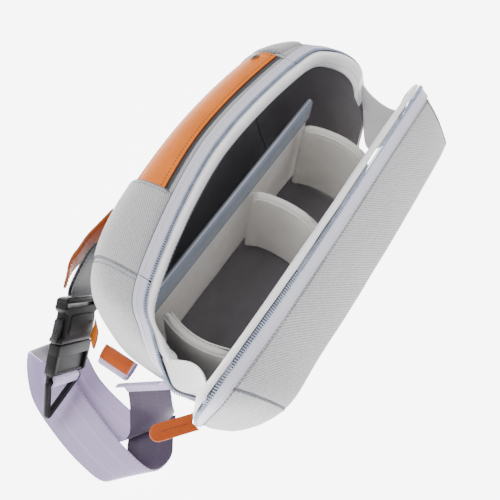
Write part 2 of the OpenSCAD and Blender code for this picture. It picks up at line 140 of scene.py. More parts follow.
def curve(points, s):
    """Smooth curve through the points at each s from 0 to 1, as in part.scad."""
    p = np.asarray(points, float)
    last = len(p) - 1
    s = np.asarray(s, float)
    i = np.minimum(np.floor(s * last).astype(int), last - 1)
    t = s * last - i
    if p.ndim > 1:
        t = t[..., None]
    a, b, c, d = p[np.maximum(i - 1, 0)], p[i], p[i + 1], p[np.minimum(i + 2, last)]
    return (2 * b + (c - a) * t + (2 * a - 5 * b + 4 * c - d) * t**2 + (3 * b - a - 3 * c + d) * t**3) / 2


def unit(v):
    return v / np.maximum(np.linalg.norm(v, axis=-1, keepdims=True), 1e-9)


class Shell:
    """One half of the bag, by u along it and v from its foot (0) to its zip edge (1)."""

    def __init__(self, rows):
        self.foot = [(r[0] * HALF, r[1], FLOOR_Z) for r in rows]
        self.fold = [(r[2] * HALF, r[3], r[4]) for r in rows]
        self.edge = [(r[5] * HALF, r[6], r[7]) for r in rows]
        self.bearing = [r[8] for r in rows]
        self.round = [r[9] for r in rows]

    def outward(self, u):
        a = np.radians(curve(self.bearing, u))
        return np.stack([np.cos(a), np.sin(a), 0 * a], -1)

    def wall(self, u, v):
        foot, fold, edge = curve(self.foot, u), curve(self.fold, u), curve(self.edge, u)
        rounding = curve(self.round, u)[..., None]
        out = self.outward(u)
        belly, shoulder = fold.copy(), fold.copy()
        belly[..., 2] = foot[..., 2] + (fold[..., 2] - foot[..., 2]) * 0.45
        shoulder[..., 2] = fold[..., 2] + (edge[..., 2] - fold[..., 2]) * 0.95
        crisp_belly = (foot + fold) / 2 + out * 3
        crisp_shoulder = (fold + edge) / 2 + np.array([0, 0, 3.0])
        belly = crisp_belly + (belly - crisp_belly) * rounding
        shoulder = crisp_shoulder + (shoulder - crisp_shoulder) * rounding
        v = np.asarray(v)[..., None]
        low, high = np.clip(2 * v, 0, 1), np.clip(2 * v - 1, 0, 1)
        lower = foot * (1 - low) ** 2 + belly * 2 * low * (1 - low) + fold * low**2
        upper = fold * (1 - high) ** 2 + shoulder * 2 * high * (1 - high) + edge * high**2
        return np.where(v < 0.5, lower, upper)

    def slope(self, u, v):
        reach = 0.05
        return self.wall(u, np.minimum(v + reach, 1)) - self.wall(u, np.maximum(v - reach, 0))

    def normal(self, u, v):
        out, slope = self.outward(u), self.slope(u, v)
        n = out * slope[..., 2:3]
        n[..., 2] -= (slope * out).sum(-1)
        return unit(n)

    def grid(self, us, vs, lift=0.0):
        """Points over the wall, lifted outwards; lift is a number or an array over the grid."""
        u, v = np.meshgrid(us, vs, indexing="ij")
        return self.wall(u, v) + self.normal(u, v) * np.broadcast_to(lift, u.shape)[..., None]

    def on(self, u, v, lift):
        """Points along a line over the wall, lifted outwards, and the outward directions there."""
        u, v = np.broadcast_arrays(u, v)
        out = self.normal(u, v)
        return self.wall(u, v) + out * lift, out

    def edge_frame(self, us):
        """Zip edge points, with the directions inwards across the mouth and up off the wall."""
        us = np.asarray(us, float)
        one = np.ones_like(us)
        inward = unit(self.slope(us, one))
        n = self.normal(us, one)
        above = unit(n - inward * (n * inward).sum(-1, keepdims=True))
        return self.wall(us, one), inward, above

    def along_edge(self, us, across, above):
        p, inward, up = self.edge_frame(us)
        across, above = [np.broadcast_to(a, len(us))[:, None] for a in (across, above)]
        return p + inward * across + up * above


rear = Shell(REAR)
front = Shell(FRONT)


def back_u(x):
    """u at a given x along the straight back."""
    return 0.5 + (SEAM_RIGHT - 0.5) * x / (0.70 * HALF)


# ---------- Mesh building ----------
class Build:
    """Gathers points, faces, sewing-plan coordinates and material numbers for one mesh."""

    def __init__(self):
        self.points, self.faces, self.plan, self.paint, self.count = [], [], [], [], 0

    def add(self, points, faces, plan, paint=0):
        points = np.asarray(points, float).reshape(-1, 3)
        self.points.append(points)
        self.plan.append(np.asarray(plan, float).reshape(-1, 2))
        self.faces += [tuple(i + self.count for i in f) for f in faces]
        self.paint += [paint] * len(faces)
        self.count += len(points)

    def grid(self, g, closed=False, caps=False, paint=0):
        """A grid of quads; closed joins the last column to the first, and caps closes both ends."""
        n, m = g.shape[:2]
        faces = []
        for i in range(n - 1):
            for j in range(m if closed else m - 1):
                k = (j + 1) % m
                faces.append((i * m + j, (i + 1) * m + j, (i + 1) * m + k, i * m + k))
        if caps:
            faces.append(tuple(range(m)))
            faces.append(tuple((n - 1) * m + j for j in reversed(range(m))))
        self.add(g, faces, arc_plan(g), paint)
        return self

    def tube(self, path, radius, sides=8, flat=1.0):
        path = np.asarray(path, float)
        radius = np.broadcast_to(radius, len(path))
        ahead = unit(np.gradient(path, axis=0))
        side = np.cross(ahead[0], [0, 0, 1.0])
        if np.linalg.norm(side) < 0.2:
            side = np.cross(ahead[0], [0, 1.0, 0])
        turn = np.linspace(0, 2 * pi, sides, endpoint=False)[:, None]
        rings = []
        for p, a, r in zip(path, ahead, radius):
            side = unit(side - a * (side @ a))
            rings.append(p + r * (np.cos(turn) * side + flat * np.sin(turn) * np.cross(a, side)))
        return self.grid(np.array(rings), closed=True, caps=True)

    def make(self, name, materials, smooth_angle=40, weld=True):
        mesh = bpy.data.meshes.new(name)
        mesh.from_pydata((np.concatenate(self.points) * MM).tolist(), [], self.faces)
        layer = mesh.uv_layers.new(name="plan")
        plan = np.concatenate(self.plan) * MM
        corners = np.empty(len(mesh.loops), np.int32)
        mesh.loops.foreach_get("vertex_index", corners)
        layer.data.foreach_set("uv", plan[corners].ravel())
        for m in materials:
            mesh.materials.append(m)
        mesh.polygons.foreach_set("material_index", self.paint)
        shape = bmesh.new()
        shape.from_mesh(mesh)
        if weld:
            bmesh.ops.remove_doubles(shape, verts=shape.verts, dist=2e-6)
        bmesh.ops.recalc_face_normals(shape, faces=shape.faces)
        shape.to_mesh(mesh)
        shape.free()
        mesh.polygons.foreach_set("use_smooth", [True] * len(mesh.polygons))
        mesh.set_sharp_from_angle(angle=radians(smooth_angle))
        return add_object(name, mesh)


def run_of(path):
    """Arc length from the start of a path to each of its points."""
    return np.concatenate([[0], np.cumsum(np.linalg.norm(np.diff(path, axis=0), axis=1))])


def arc_plan(g):
    """Flat sewing-plan coordinates of a grid: mean arc length along each direction."""
    du = np.linalg.norm(np.diff(g, axis=0), axis=2).mean(1)
    dv = np.linalg.norm(np.diff(g, axis=1), axis=2).mean(0)
    u = np.concatenate([[0], np.cumsum(du)])
    v = np.concatenate([[0], np.cumsum(dv)])
    return np.stack(np.meshgrid(u, v, indexing="ij"), -1)


def slab(name, outer, inner, materials, paint=(0, 0, 0), smooth_angle=40):
    """A closed sheet between two grids; paint numbers the outer face, the inner face and the rim."""
    b = Build()
    n, m = outer.shape[:2]
    plan = arc_plan(outer)
    corners = [(i * m + j, (i + 1) * m + j) for i in range(n - 1) for j in range(m - 1)]
    quads = [(low, high, high + 1, low + 1) for low, high in corners]
    b.add(outer, quads, plan, paint[0])
    b.add(inner, [q[::-1] for q in quads], plan, paint[1])
    around = [(i, 0) for i in range(n)] + [(n - 1, j) for j in range(1, m)]
    around += [(i, m - 1) for i in range(n - 2, -1, -1)] + [(0, j) for j in range(m - 2, 0, -1)]
    pairs = [(outer[at], inner[at]) for at in around + around[:1]]
    b.grid(np.array([[o, (o + i) / 2, i] for o, i in pairs]), paint=paint[2])
    return b.make(name, materials, smooth_angle)


def tube_of(name, grid, material, smooth_angle):
    """A closed body from rings of points, capped at both ends."""
    return Build().grid(grid, closed=True, caps=True).make(name, [material], smooth_angle)


def bumpy(g, size, amount, seed=0.0):
    """Smooth random heights over a grid, in millimetres."""
    flat = g.reshape(-1, 3)
    shift = Vector((seed * 7.3, seed * 3.1, seed * 5.7))
    h = [noise.noise(Vector(p) / size + shift) for p in flat]
    return np.array(h).reshape(g.shape[:-1]) * amount


def stitches(b, path, lift_dir, length=2.2, pitch=3.2, radius=0.3):
    """A row of sewn stitches along a path, each a short thread that dips into the cloth at its ends."""
    path = np.asarray(path, float)
    dirs = np.broadcast_to(np.asarray(lift_dir, float), path.shape)
    run = run_of(path)
    dip = -0.1 - radius
    heights = np.array([dip, radius * 0.4, radius * 0.6, radius * 0.4, dip])[:, None]
    for start in np.arange(0, run[-1] - length, pitch):
        s = start + np.array([0, 0.2, 0.5, 0.8, 1.0]) * length
        p, d = [np.stack([np.interp(s, run, row) for row in rows.T], 1) for rows in (path, dirs)]
        b.tube(p + unit(d) * heights, radius, sides=5)


# ---------- Materials ----------
def shade(colour, k):
    return [c * k for c in colour[:3]] + [1.0]


class Wiring:
    """A new material, with short names for adding shader nodes to it."""

    def __init__(self, name, colour, roughness, specular=0.5, sheen=0.0, metallic=0.0, coat=0.0):
        self.material = bpy.data.materials.new(name)
        self.material.use_nodes = True
        self.tree = self.material.node_tree
        self.shader = self.tree.nodes["Principled BSDF"].inputs
        for key, value in {
            "Base Color": colour, "Roughness": roughness, "Specular IOR Level": specular,
            "Metallic": metallic, "Sheen Weight": sheen, "Sheen Roughness": 0.5, "Coat Weight": coat,
        }.items():
            self.shader[key].default_value = value

    def put(self, socket, value):
        """Links another node's output to a socket, or sets a plain value."""
        if isinstance(value, bpy.types.NodeSocket):
            self.tree.links.new(value, socket)
        else:
            socket.default_value = value

    def node(self, kind, *first, **settings):
        """A node with its first inputs, and settings of its inputs or itself by name."""
        n = self.tree.nodes.new("ShaderNode" + kind)
        for key, value in settings.items():
            if key in n.inputs:
                n.inputs[key].default_value = value
            else:
                setattr(n, key, value)
        for socket, value in zip(n.inputs, first):
            self.put(socket, value)
        return n

    def math(self, operation, *values):
        return self.node("Math", *values, operation=operation).outputs[0]

    def sum(self, a, share_a, b, share_b):
        """Two values added, each times its own share."""
        return self.math("ADD", self.math("MULTIPLY", a, share_a), self.math("MULTIPLY", b, share_b))

    def plan(self):
        """The sewing-plan coordinates in metres, as (vector, along, across)."""
        uv = self.node("UVMap", uv_map="plan").outputs[0]
        split = self.node("SeparateXYZ", uv)
        return uv, split.outputs[0], split.outputs[1]

    def place(self):
        return self.node("TexCoord").outputs["Object"]

    def noise(self, vector, scale, detail=2.0, stretch=None):
        if stretch:
            vector = self.node("Mapping", vector, Scale=stretch).outputs[0]
        return self.node("TexNoise", vector, Scale=scale, Detail=detail).outputs[0]

    def wave(self, coordinate, pitch):
        """A smooth wave from 0 to 1 with that pitch in metres."""
        turn = self.math("MULTIPLY", coordinate, 2 * pi / pitch)
        return self.math("ADD", self.math("MULTIPLY", self.math("SINE", turn), 0.5), 0.5)

    def ramp(self, value, *stops):
        n = self.node("ValToRGB", value)
        bar = n.color_ramp
        while len(bar.elements) < len(stops):
            bar.elements.new(0.5)
        for e, (at, colour) in zip(bar.elements, stops):
            e.position = at
            e.color = colour
        return n.outputs[0]

    def shades(self, value, colour, *stops):
        """A ramp through darker and lighter shades of one colour."""
        return self.ramp(value, *[(at, shade(colour, k)) for at, k in stops])

    def blend(self, share, a, b, mode="MIX"):
        n = self.node("Mix", data_type="RGBA", blend_type=mode)
        for key, v in (("Factor", share), ("A", a), ("B", b)):
            self.put(next(i for i in n.inputs if i.name == key and (i.type == "RGBA" or key == "Factor")), v)
        return next(o for o in n.outputs if o.type == "RGBA")

    def finish(self, colour, rough, low, high, height, distance, strength):
        """Connects the colour, the roughness between low and high, and the relief."""
        self.put(self.shader["Base Color"], colour)
        rough = self.node("MapRange", rough, **{"To Min": low, "To Max": high})
        self.put(self.shader["Roughness"], rough.outputs[0])
        n = self.node("Bump", Distance=distance, Strength=strength)
        self.put(n.inputs["Height"], height)
        self.put(self.shader["Normal"], n.outputs[0])
        return self.material


def canvas_material(name, colour, twill=0.0025):
    """Heathered twill: slanted ribs, crossing threads, and darker fibres scattered through them."""
    w = Wiring(name, colour, 0.88, 0.25, sheen=0.12)
    uv, u, v = w.plan()
    slant = w.wave(w.math("ADD", u, v), twill)
    cross = w.wave(w.math("SUBTRACT", u, v), twill * 0.5)
    fibres = w.noise(uv, 900, 3, stretch=(1.0, 0.35, 1.0))
    flecks = w.noise(uv, 2100, 1)
    worn = w.noise(w.place(), 14, 3)
    weave = w.sum(slant, 0.62, cross, 0.38)
    base = w.shades(w.sum(weave, 0.5, fibres, 0.5), colour, (0.25, 0.56), (0.5, 0.95), (0.75, 1.24))
    fleck = w.ramp(flecks, (0.56, WHITE), (0.72, (0.78, 0.78, 0.8, 1)))
    wash = w.ramp(worn, (0.3, (0.965, 0.965, 0.96, 1)), (0.7, WHITE))
    base = w.blend(1.0, w.blend(1.0, base, fleck, "MULTIPLY"), wash, "MULTIPLY")
    return w.finish(base, fibres, 0.8, 0.96, w.sum(weave, 1, fibres, 0.6), 0.00022, 0.9)


def soft_material(name, colour, scale=1400, depth=0.00018, sheen=0.35):
    """Brushed or fine-woven padding cloth with a short nap."""
    w = Wiring(name, colour, 0.93, 0.2, sheen=sheen)
    nap = w.noise(w.place(), scale, 3)
    patch = w.noise(w.place(), 60, 3)
    base = w.shades(w.sum(nap, 0.55, patch, 0.45), colour, (0.3, 0.86), (0.7, 1.06))
    return w.finish(base, nap, 0.85, 0.98, w.sum(nap, 1, patch, 1.5), depth, 0.7)


def tape_material(name, colour, pitch=0.0011):
    """Woven tape: fine ribs across it and lengthwise threads."""
    w = Wiring(name, colour, 0.75, 0.3, sheen=0.15)
    uv, u, v = w.plan()
    grit = w.noise(uv, 1500, 2)
    weave = w.sum(w.wave(u, pitch), 0.5, w.wave(v, pitch * 1.7), 0.5)
    base = w.shades(w.sum(weave, 0.6, grit, 0.4), colour, (0.2, 0.8), (0.8, 1.1))
    return w.finish(base, grit, 0.65, 0.85, weave, 0.00018, 0.8)


def webbing_material(name, colour, width, stripe=1.1, edge=0.7):
    """Ribbed strap: weft ribs across, lighter satin bands along it and a dashed selvedge; an edge above 1
    paints the selvedge lighter than the strap, as a highlight along its edges.
    """
    w = Wiring(name, colour, 0.45, 0.45, sheen=0.25)
    uv, u, v = w.plan()
    rib = w.wave(u, 0.0012)
    grit = w.noise(uv, 1200, 2, stretch=(0.4, 1.0, 1.0))
    slow = w.noise(uv, 22, 2, stretch=(1.0, 3.0, 1.0))
    from_middle = w.math("ABSOLUTE", w.math("SUBTRACT", w.math("DIVIDE", v, width), 0.5))
    bands = w.shades(from_middle, colour, (0.0, 1.0), (0.155, 1.0), (0.17, stripe),
                     (0.205, stripe), (0.22, 0.97), (0.452, 0.97))
    dash = w.math("GREATER_THAN", w.wave(w.sum(u, 1, v, 0.5), 0.0034), 0.45)
    rim = w.math("GREATER_THAN", from_middle, 0.462)
    base = w.blend(w.math("MULTIPLY", rim, dash), bands, shade(colour, edge))
    weave = w.sum(rib, 0.6, w.wave(v, 0.0009), 0.4)
    tone = w.sum(weave, 0.5, w.math("ADD", grit, slow), 0.25)
    base = w.blend(1.0, base, w.shades(tone, WHITE, (0.25, 0.84), (0.75, 1.1)), "MULTIPLY")
    return w.finish(base, grit, 0.36, 0.6, w.sum(weave, 1, grit, 0.3), 0.00016, 0.8)


def leather_material(name, colour):
    """Smooth dyed leather with fine pores, soft cloudiness and a slightly polished surface."""
    w = Wiring(name, colour, 0.55, 0.2, coat=0.02)
    cloud = w.noise(w.place(), 55, 4)
    pores = w.node("TexVoronoi", w.place(), Scale=1500.0).outputs[0]
    grain = w.noise(w.place(), 700, 4)
    base = w.shades(w.sum(cloud, 0.6, grain, 0.4), colour, (0.3, 0.84), (0.55, 1.0), (0.75, 1.1))
    return w.finish(base, grain, 0.4, 0.62, w.sum(grain, 1, pores, 0.5), 0.00012, 0.7)


def moulded_material(name, colour, roughness=0.42, metallic=0.0, specular=0.5):
    """Moulded plastic or cast metal with a fine even texture and slight wear."""
    w = Wiring(name, colour, roughness, specular, metallic=metallic)
    wear = w.noise(w.place(), 120, 4)
    base = w.shades(wear, colour, (0.35, 0.85), (0.7, 1.25))
    return w.finish(base, wear, roughness - 0.07, roughness + 0.12, w.noise(w.place(), 2600, 2), 0.00005, 0.6)


def thread_material(name, colour):
    w = Wiring(name, colour, 0.7, 0.3, sheen=0.2)
    twist = w.noise(w.place(), 3000, 1)
    w.put(w.shader["Base Color"], w.shades(twist, colour, (0.3, 0.75), (0.7, 1.2)))
    return w.material


CANVAS = canvas_material("canvas", srgb(180, 180, 183))
CANVAS_EDGE = soft_material("canvas_edge", srgb(120, 122, 128), 1800)
CANVAS_SIDES = [CANVAS, CANVAS_EDGE]
LINING = soft_material("lining", srgb(254, 252, 255), 1500, 0.00015)
# Grey of the inner linings and the floor pad, set darker than the cloth alone: partly the lining's own grey,
# partly painted shade of the bag's inside.
INSIDE_GREY_AND_SHADE = soft_material("inside_grey_and_shade", srgb(122, 118, 123), 1500, 0.00015)
TAPE = tape_material("zip_tape", srgb(206, 205, 218))
# Darker blue-grey copy of the zip tape, for the tape's underside and the piping at the zip's ends where the
# tape turns edge-on: partly the tape's own blue-grey, partly painted shade.
TAPE_BACK_AND_SHADE = tape_material("zip_tape_back_and_shade", srgb(138, 147, 163))
COIL = moulded_material("zip_coil", srgb(146, 158, 182), 0.4)
SEAM = thread_material("seam_dark", srgb(104, 106, 114))
DIVIDER = soft_material("divider", srgb(222, 218, 211), 1100, 0.0003, 0.5)
DIVIDER_EDGE = soft_material("divider_edge", srgb(238, 235, 230), 1500, 0.0002)
BINDING = soft_material("binding", srgb(122, 132, 148), 1600, 0.00015)
# Lighter copy of the binding's blue-grey, for a strip along the binding's crest: painted highlight.
BINDING_HIGHLIGHT = soft_material("binding_painted_highlight", srgb(178, 180, 192), 1600, 0.00015)
LEATHER = leather_material("leather", srgb(214, 112, 22))
# Darker copy of the same leather, for the left anchor, the side patch and the zip tab at the bag's left end:
# painted shade.
LEATHER_SHADED = leather_material("leather_painted_shade", srgb(166, 72, 16))
LEATHER_EDGE = leather_material("leather_edge", srgb(134, 66, 28))
# Lighter copy of the same leather, for the corner pull tab: painted highlight.
LEATHER_LIT = leather_material("leather_painted_highlight", srgb(243, 132, 42))
TAN_THREAD = thread_material("tan_thread", srgb(112, 54, 20))
WEBBING = webbing_material("webbing", srgb(186, 170, 208), 0.038)
# Darker copy of the strap webbing for the back faces of the strap runs: painted shade.
WEBBING_PAINTED_SHADE = webbing_material("webbing_painted_shade", srgb(62, 48, 74), 0.038)
# The black webbing's dashed rim is set much lighter than the strap: the woven selvedge, with a painted
# highlight along its edges.
BLACK_WEBBING = webbing_material("black_webbing", srgb(40, 40, 43), 0.030, 1.3, 3.2)
PLASTIC = moulded_material("plastic", srgb(17, 17, 18), 0.46, specular=0.18)
# Lighter copy of the buckle's black plastic for the prong grips: painted highlight.
PLASTIC_HIGHLIGHT = moulded_material("plastic_painted_highlight", srgb(40, 40, 42), 0.42, specular=0.25)
METAL = moulded_material("metal", srgb(150, 148, 145), 0.3, 1.0)
# Dark cloth under the handle, showing as a dark rim around it: partly a backing strip, partly painted shadow
# of the raised handle.
BACKING_AND_SHADOW_CLOTH = soft_material("backing_cloth_and_painted_shadow", srgb(74, 76, 82), 1800, 0.00012, 0.2)
LIGHT_THREAD = thread_material("light_thread", srgb(176, 180, 190))


# ---------- Riding ----------
REAR_PARTS = [("left", 0.0, SEAM_LEFT), ("middle", SEAM_LEFT, SEAM_RIGHT), ("right", SEAM_RIGHT, 1.0)]


def fit(obj, body, slot, *stands_for):
    """Puts a piece on a body, or on a rear part by its side, and hides the nodes it replaces; its slot is not
    used.

    The rear's middle leans with the back, and its ends are baked in place on the fixed shell.
    """
    if body == "middle":
        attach(obj, "back_half")
    elif body in ("left", "right"):
        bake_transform(obj)
    else:
        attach(obj, body)
    if stands_for:
        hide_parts(*stands_for)
    return obj


def fit_padded(obj, fill, body, slot, *stands_for):
    fit(obj, body, slot, *stands_for)


def sew(name, body, slot, rows, *size):
    """Rows of light stitches as one piece; each row is a path and its outward directions."""
    b = Build()
    for path, out in rows:
        stitches(b, path, out, *size)
    fit(b.make(name, [LIGHT_THREAD], weld=False), body, slot)


# ---------- Canvas shell ----------
def spread(start, end, count, *dense):
    """Even steps with extra ones around each dense place, for seams."""
    s = list(np.linspace(start, end, count))
    for at, reach in dense:
        s = [x for x in s if abs(x - at) > reach * 1.05]
        s += [at + k * reach for k in (-1, -0.6, -0.3, 0, 0.3, 0.6, 1)]
    return np.array(sorted(x for x in s if start - 1e-9 <= x <= end + 1e-9))


def canvas_wall(name, shell, us, vs, seams, reach, depth, fine, seed):
    """A wall of the shell, softly uneven, with its seams pulled in."""
    base = shell.grid(us, vs)
    lift = bumpy(base, 45, 0.7, seed) + bumpy(base, 16, fine, seed + 5)
    lift *= np.clip(np.minimum(vs / 0.05, (1 - vs) / 0.04), 0, 1)[None, :]
    for at in seams:
        lift = lift + (-depth * np.clip(1 - np.abs(us - at) / reach, 0, 1) ** 1.5)[:, None]
    return slab(name, shell.grid(us, vs, lift), shell.grid(us, vs, -CANVAS_THICK), CANVAS_SIDES, (0, 0, 1))


SEAM_V = np.linspace(0.02, 0.985, 90)


def build_front():
    corners = (0.2495, 0.7505)
    us = spread(0, 1, 120, *[(c, 0.004) for c in corners])
    shell = canvas_wall("front_shell", front, us, np.linspace(0.012, 1, 64), corners, 0.004, 0.9, 0.21, 2.0)
    fit_padded(shell, 0.6, "front_half", "canvas",
               "front_panel", "front_top_gusset", "front_left_corner", "front_right_corner")
    b = Build()
    for c in corners:
        stitches(b, *front.on(c - 0.0032, SEAM_V, 0.35), radius=0.26)
        b.tube(front.on(c, SEAM_V, -0.15)[0], 0.45, 6)
    u = np.linspace(0.004, 0.996, 420)
    b.tube(front.along_edge(u, -7.8, 0.2), 0.55, 6)
    stitches(b, front.along_edge(u, -10.2, 0.25), front.edge_frame(u)[2], radius=0.28)
    fit(b.make("front_seams", [SEAM]), "front_half", "canvas")


def build_rear():
    replaced = {"left": ["left_end_panel"], "right": ["right_end_panel"],
                "middle": ["back_panel", "rear_top_gusset"]}
    seams = {side: Build() for side in replaced}
    for side, start, end in REAR_PARTS:
        us = np.linspace(start, end, 44 if side == "middle" else 72)
        wall = canvas_wall("rear_shell_" + side, rear, us, np.linspace(0.006, 1, 60),
                           (SEAM_LEFT, SEAM_RIGHT), 0.006, 0.8, 0.2, 7.0)
        fit_padded(wall, 0.6, side, "canvas", *replaced[side])
    for side, at, sign in (("left", SEAM_LEFT, -1), ("right", SEAM_RIGHT, 1)):
        seams[side].tube(rear.on(at + sign * 0.001, SEAM_V, -0.1)[0], 0.34, 6)
        stitches(seams[side], *rear.on(at + sign * 0.0075, SEAM_V, 0.4), radius=0.26)
    for side, start, end in REAR_PARTS:
        seams[side].tube(rear.along_edge(np.linspace(start + 0.002, end - 0.002, 150), -2.6, 0.5), 0.75, 8)
        fit(seams[side].make("rear_seams_" + side, [SEAM]), side, "canvas")


# ---------- Zip ----------
def tape_grid(shell, us, low, high, lift):
    p, inward, above = shell.edge_frame(us)
    return p[:, None] + inward[:, None] * np.linspace(low, high, 7)[None, :, None] + above[:, None] * lift


def coil(b, shell, start, end, near, far, lift=1.6, pitch=1.95):
    """The zip's nylon coil: one slanted loop after another along the edge."""
    fine = np.linspace(start, end, 900)
    run = run_of(shell.along_edge(fine, (near + far) / 2, lift))
    p, inward, above = shell.edge_frame(np.interp(np.arange(0.6, run[-1] - 0.6, pitch), run, fine))
    ahead = unit(np.cross(inward, above))
    spans = np.array([near, near + 0.5, (near + far) / 2, far - 0.4, far])[:, None]
    heights = lift + np.array([-0.1, 0.45, 0.6, 0.5, -0.15])[:, None]
    slant = np.linspace(-0.28, 0.28, 5)[:, None]
    for start_point, i, a, f in zip(p, inward, above, ahead):
        b.tube(start_point + i * spans + a * heights + f * slant, [0.4, 0.56, 0.56, 0.56, 0.4], sides=6)


def zip_strip(label, shell, us, tape, teeth, thread, body, node):
    """Tape, coil and thread along part of one zip edge; label has a place for each piece's word."""
    low, high, top, under = tape
    outer, inner = [tape_grid(shell, us, low, high, lift) for lift in (top, under)]
    fit(slab(label % "tape", outer, inner, [TAPE, TAPE_BACK_AND_SHADE], (0, 1, 0)), body, "zip_tape", node)
    b = Build()
    coil(b, shell, *teeth)
    fit(b.make(label % "coil", [COIL], weld=False), body, "zip_tape")
    row = (shell.along_edge(us, thread, top + 0.05), shell.edge_frame(us)[2])
    sew(label % "tape_thread", body, "zip_tape", [row], 1.8, 2.8, 0.2)


NODE_SIDE = {"left": "left", "middle": "centre", "right": "right"}


def build_zip():
    for side, start, end in REAR_PARTS:
        u0 = start + (0.0006 if start else 0)
        u1 = end - (0.0006 if end < 1 else 0)
        zip_strip("rear_%s_" + side, rear, np.linspace(u0, u1, 90), (-2.2, 7.2, 1.7, 0.8),
                  (u0, u1, 6.4, 9.8), 1.2, side, "rear_zip_" + NODE_SIDE[side])
    for side, u0, u1 in (("left", 0.0, 0.15), ("right", 0.84, 1.0)):
        # The end piping takes the darker tape copy: partly the tape's underside colour, partly painted shade.
        piping = Build().tube(rear.along_edge(np.linspace(u0, u1, 60), 1.0, 1.5), 2.1, 12)
        fit(piping.make("rear_piping_" + side, [TAPE_BACK_AND_SHADE]), side, "zip_tape")
    zip_strip("front_%s", front, np.linspace(0, 1, 260), (-7.4, 0.9, 1.8, 0.75),
              (0.004, 0.996, 0.6, 4.0), -6.2, "front_half", "front_zip")


# ---------- Padded lips and linings ----------
REAR_LIP = [(9.2, 0.2), (11.5, 0.5), (13.6, -0.1), (14.8, -2.0), (15.1, -4.6), (14.6, -7.5), (13.6, -10.5),
            (12.2, -13.2), (10.6, -14.8), (9.2, -14.6), (8.4, -12.6), (8.2, -9.5), (8.4, -5.5), (8.6, -2.0)]
FRONT_LIP = [(4.6, 0.3), (6.4, 0.1), (7.4, -1.6), (7.3, -4.5), (6.3, -9.0),
             (4.9, -11.6), (3.6, -11.2), (3.4, -7.0), (3.6, -2.0)]


def swept(shell, us, profile, wobble, seed, taper=1.0):
    """Rings of a padded roll along the zip edge, a little uneven in size."""
    p, inward, above = shell.edge_frame(us)
    shape = np.array(profile)
    middle = shape.mean(0)

    def ring(shape):
        return p[:, None] + inward[:, None] * shape[..., 0:1] + above[:, None] * shape[..., 1:2]

    grow = (1 + bumpy(ring(shape[None]), 22, wobble, seed)) * np.reshape(taper, (-1, 1))
    return ring(middle + (shape - middle)[None] * grow[..., None])


def build_lips():
    for side, start, end in REAR_PARTS:
        us = np.linspace(max(start, 0.185), min(end, 0.965), 80)
        taper = np.clip(np.minimum(us - 0.17, 0.98 - us) / 0.05, 0.3, 1) ** 0.6
        lip = tube_of("lip_" + side, swept(rear, us, REAR_LIP, 0.09, 3.0, taper), LINING, 70)
        fit_padded(lip, 0.7, side, "lining", "lip_" + NODE_SIDE[side])
        inward = rear.edge_frame(us)[1]
        line = rear.along_edge(us, 14.0, -9.5) + inward * 0.5
        sew("lip_thread_" + side, side, "lining", [(line, inward)], 2.0, 3.4, 0.22)
    lip = tube_of("front_lip", swept(front, np.linspace(0.05, 0.95, 220), FRONT_LIP, 0.14, 4.0), LINING, 70)
    fit_padded(lip, 0.6, "front_half", "lining")


def build_linings():
    for name, shell, u0, u1, v0, count, body, node in (
        ("left", rear, 0.0, 0.3738, 0.012, 60, "left", "left_end_lining"),
        ("middle", rear, 0.3762, 0.6238, 0.06, 60, "middle", "back_lining"),
        ("right", rear, 0.6262, 1.0, 0.012, 60, "right", "right_end_lining"),
        ("front", front, 0.16, 0.84, 0.06, 90, "front_half", "front_lining"),
    ):
        us, vs = np.linspace(u0, u1, count), np.linspace(v0, 0.965, 36)
        base = shell.grid(us, vs, -5)
        puff = np.minimum(bumpy(base, 30, 0.8, 9.0) + bumpy(base, 11, 0.3, 4.0), 0.5)
        outer, inner = shell.grid(us, vs, -LINING_FROM), shell.grid(us, vs, -LINING_TO + puff)
        # The linings take the inside grey, which is partly painted shade.
        fit_padded(slab("lining_" + name, outer, inner, [INSIDE_GREY_AND_SHADE]), 0.5, body, "lining", node)


# ---------- Base, dividers and inner padding ----------
def rounded_rectangle(x0, x1, y0, y1, radius, sides):
    """Points around a rectangle with rounded corners, from its far right corner on."""
    points = []
    centres = ((x1 - radius, y1 - radius), (x0 + radius, y1 - radius),
               (x0 + radius, y0 + radius), (x1 - radius, y0 + radius))
    for k, (cx, cy) in enumerate(centres):
        for a in np.linspace(0, pi / 2, sides) + k * pi / 2:
            points.append((cx + radius * cos(a), cy + radius * sin(a)))
    return np.array(points)


def pad_block(name, length, depth, radius, low, high, y, material, crown):
    """A flat pad with rolled edges and a slightly crowned top."""
    edge = rounded_rectangle(-length / 2, length / 2, -depth / 2, depth / 2, radius, 10)
    rows = [(0.05, low)]
    for share, inset in ((0, 1.6), (0.2, 0.4), (0.5, 0), (0.8, 0.4), (1.0, 1.6)):
        rows.append((1 - 2 * inset / depth, low + (high - low) * share))
    for k in np.linspace(0.9, 0.05, 8):
        rows.append((k * (1 - 3.2 / depth), high + crown * (1 - k * k)))
    g = np.array([np.c_[edge * size, np.full(len(edge), z)] for size, z in rows]) + np.array([0, y, 0])
    return tube_of(name, g, material, 60)


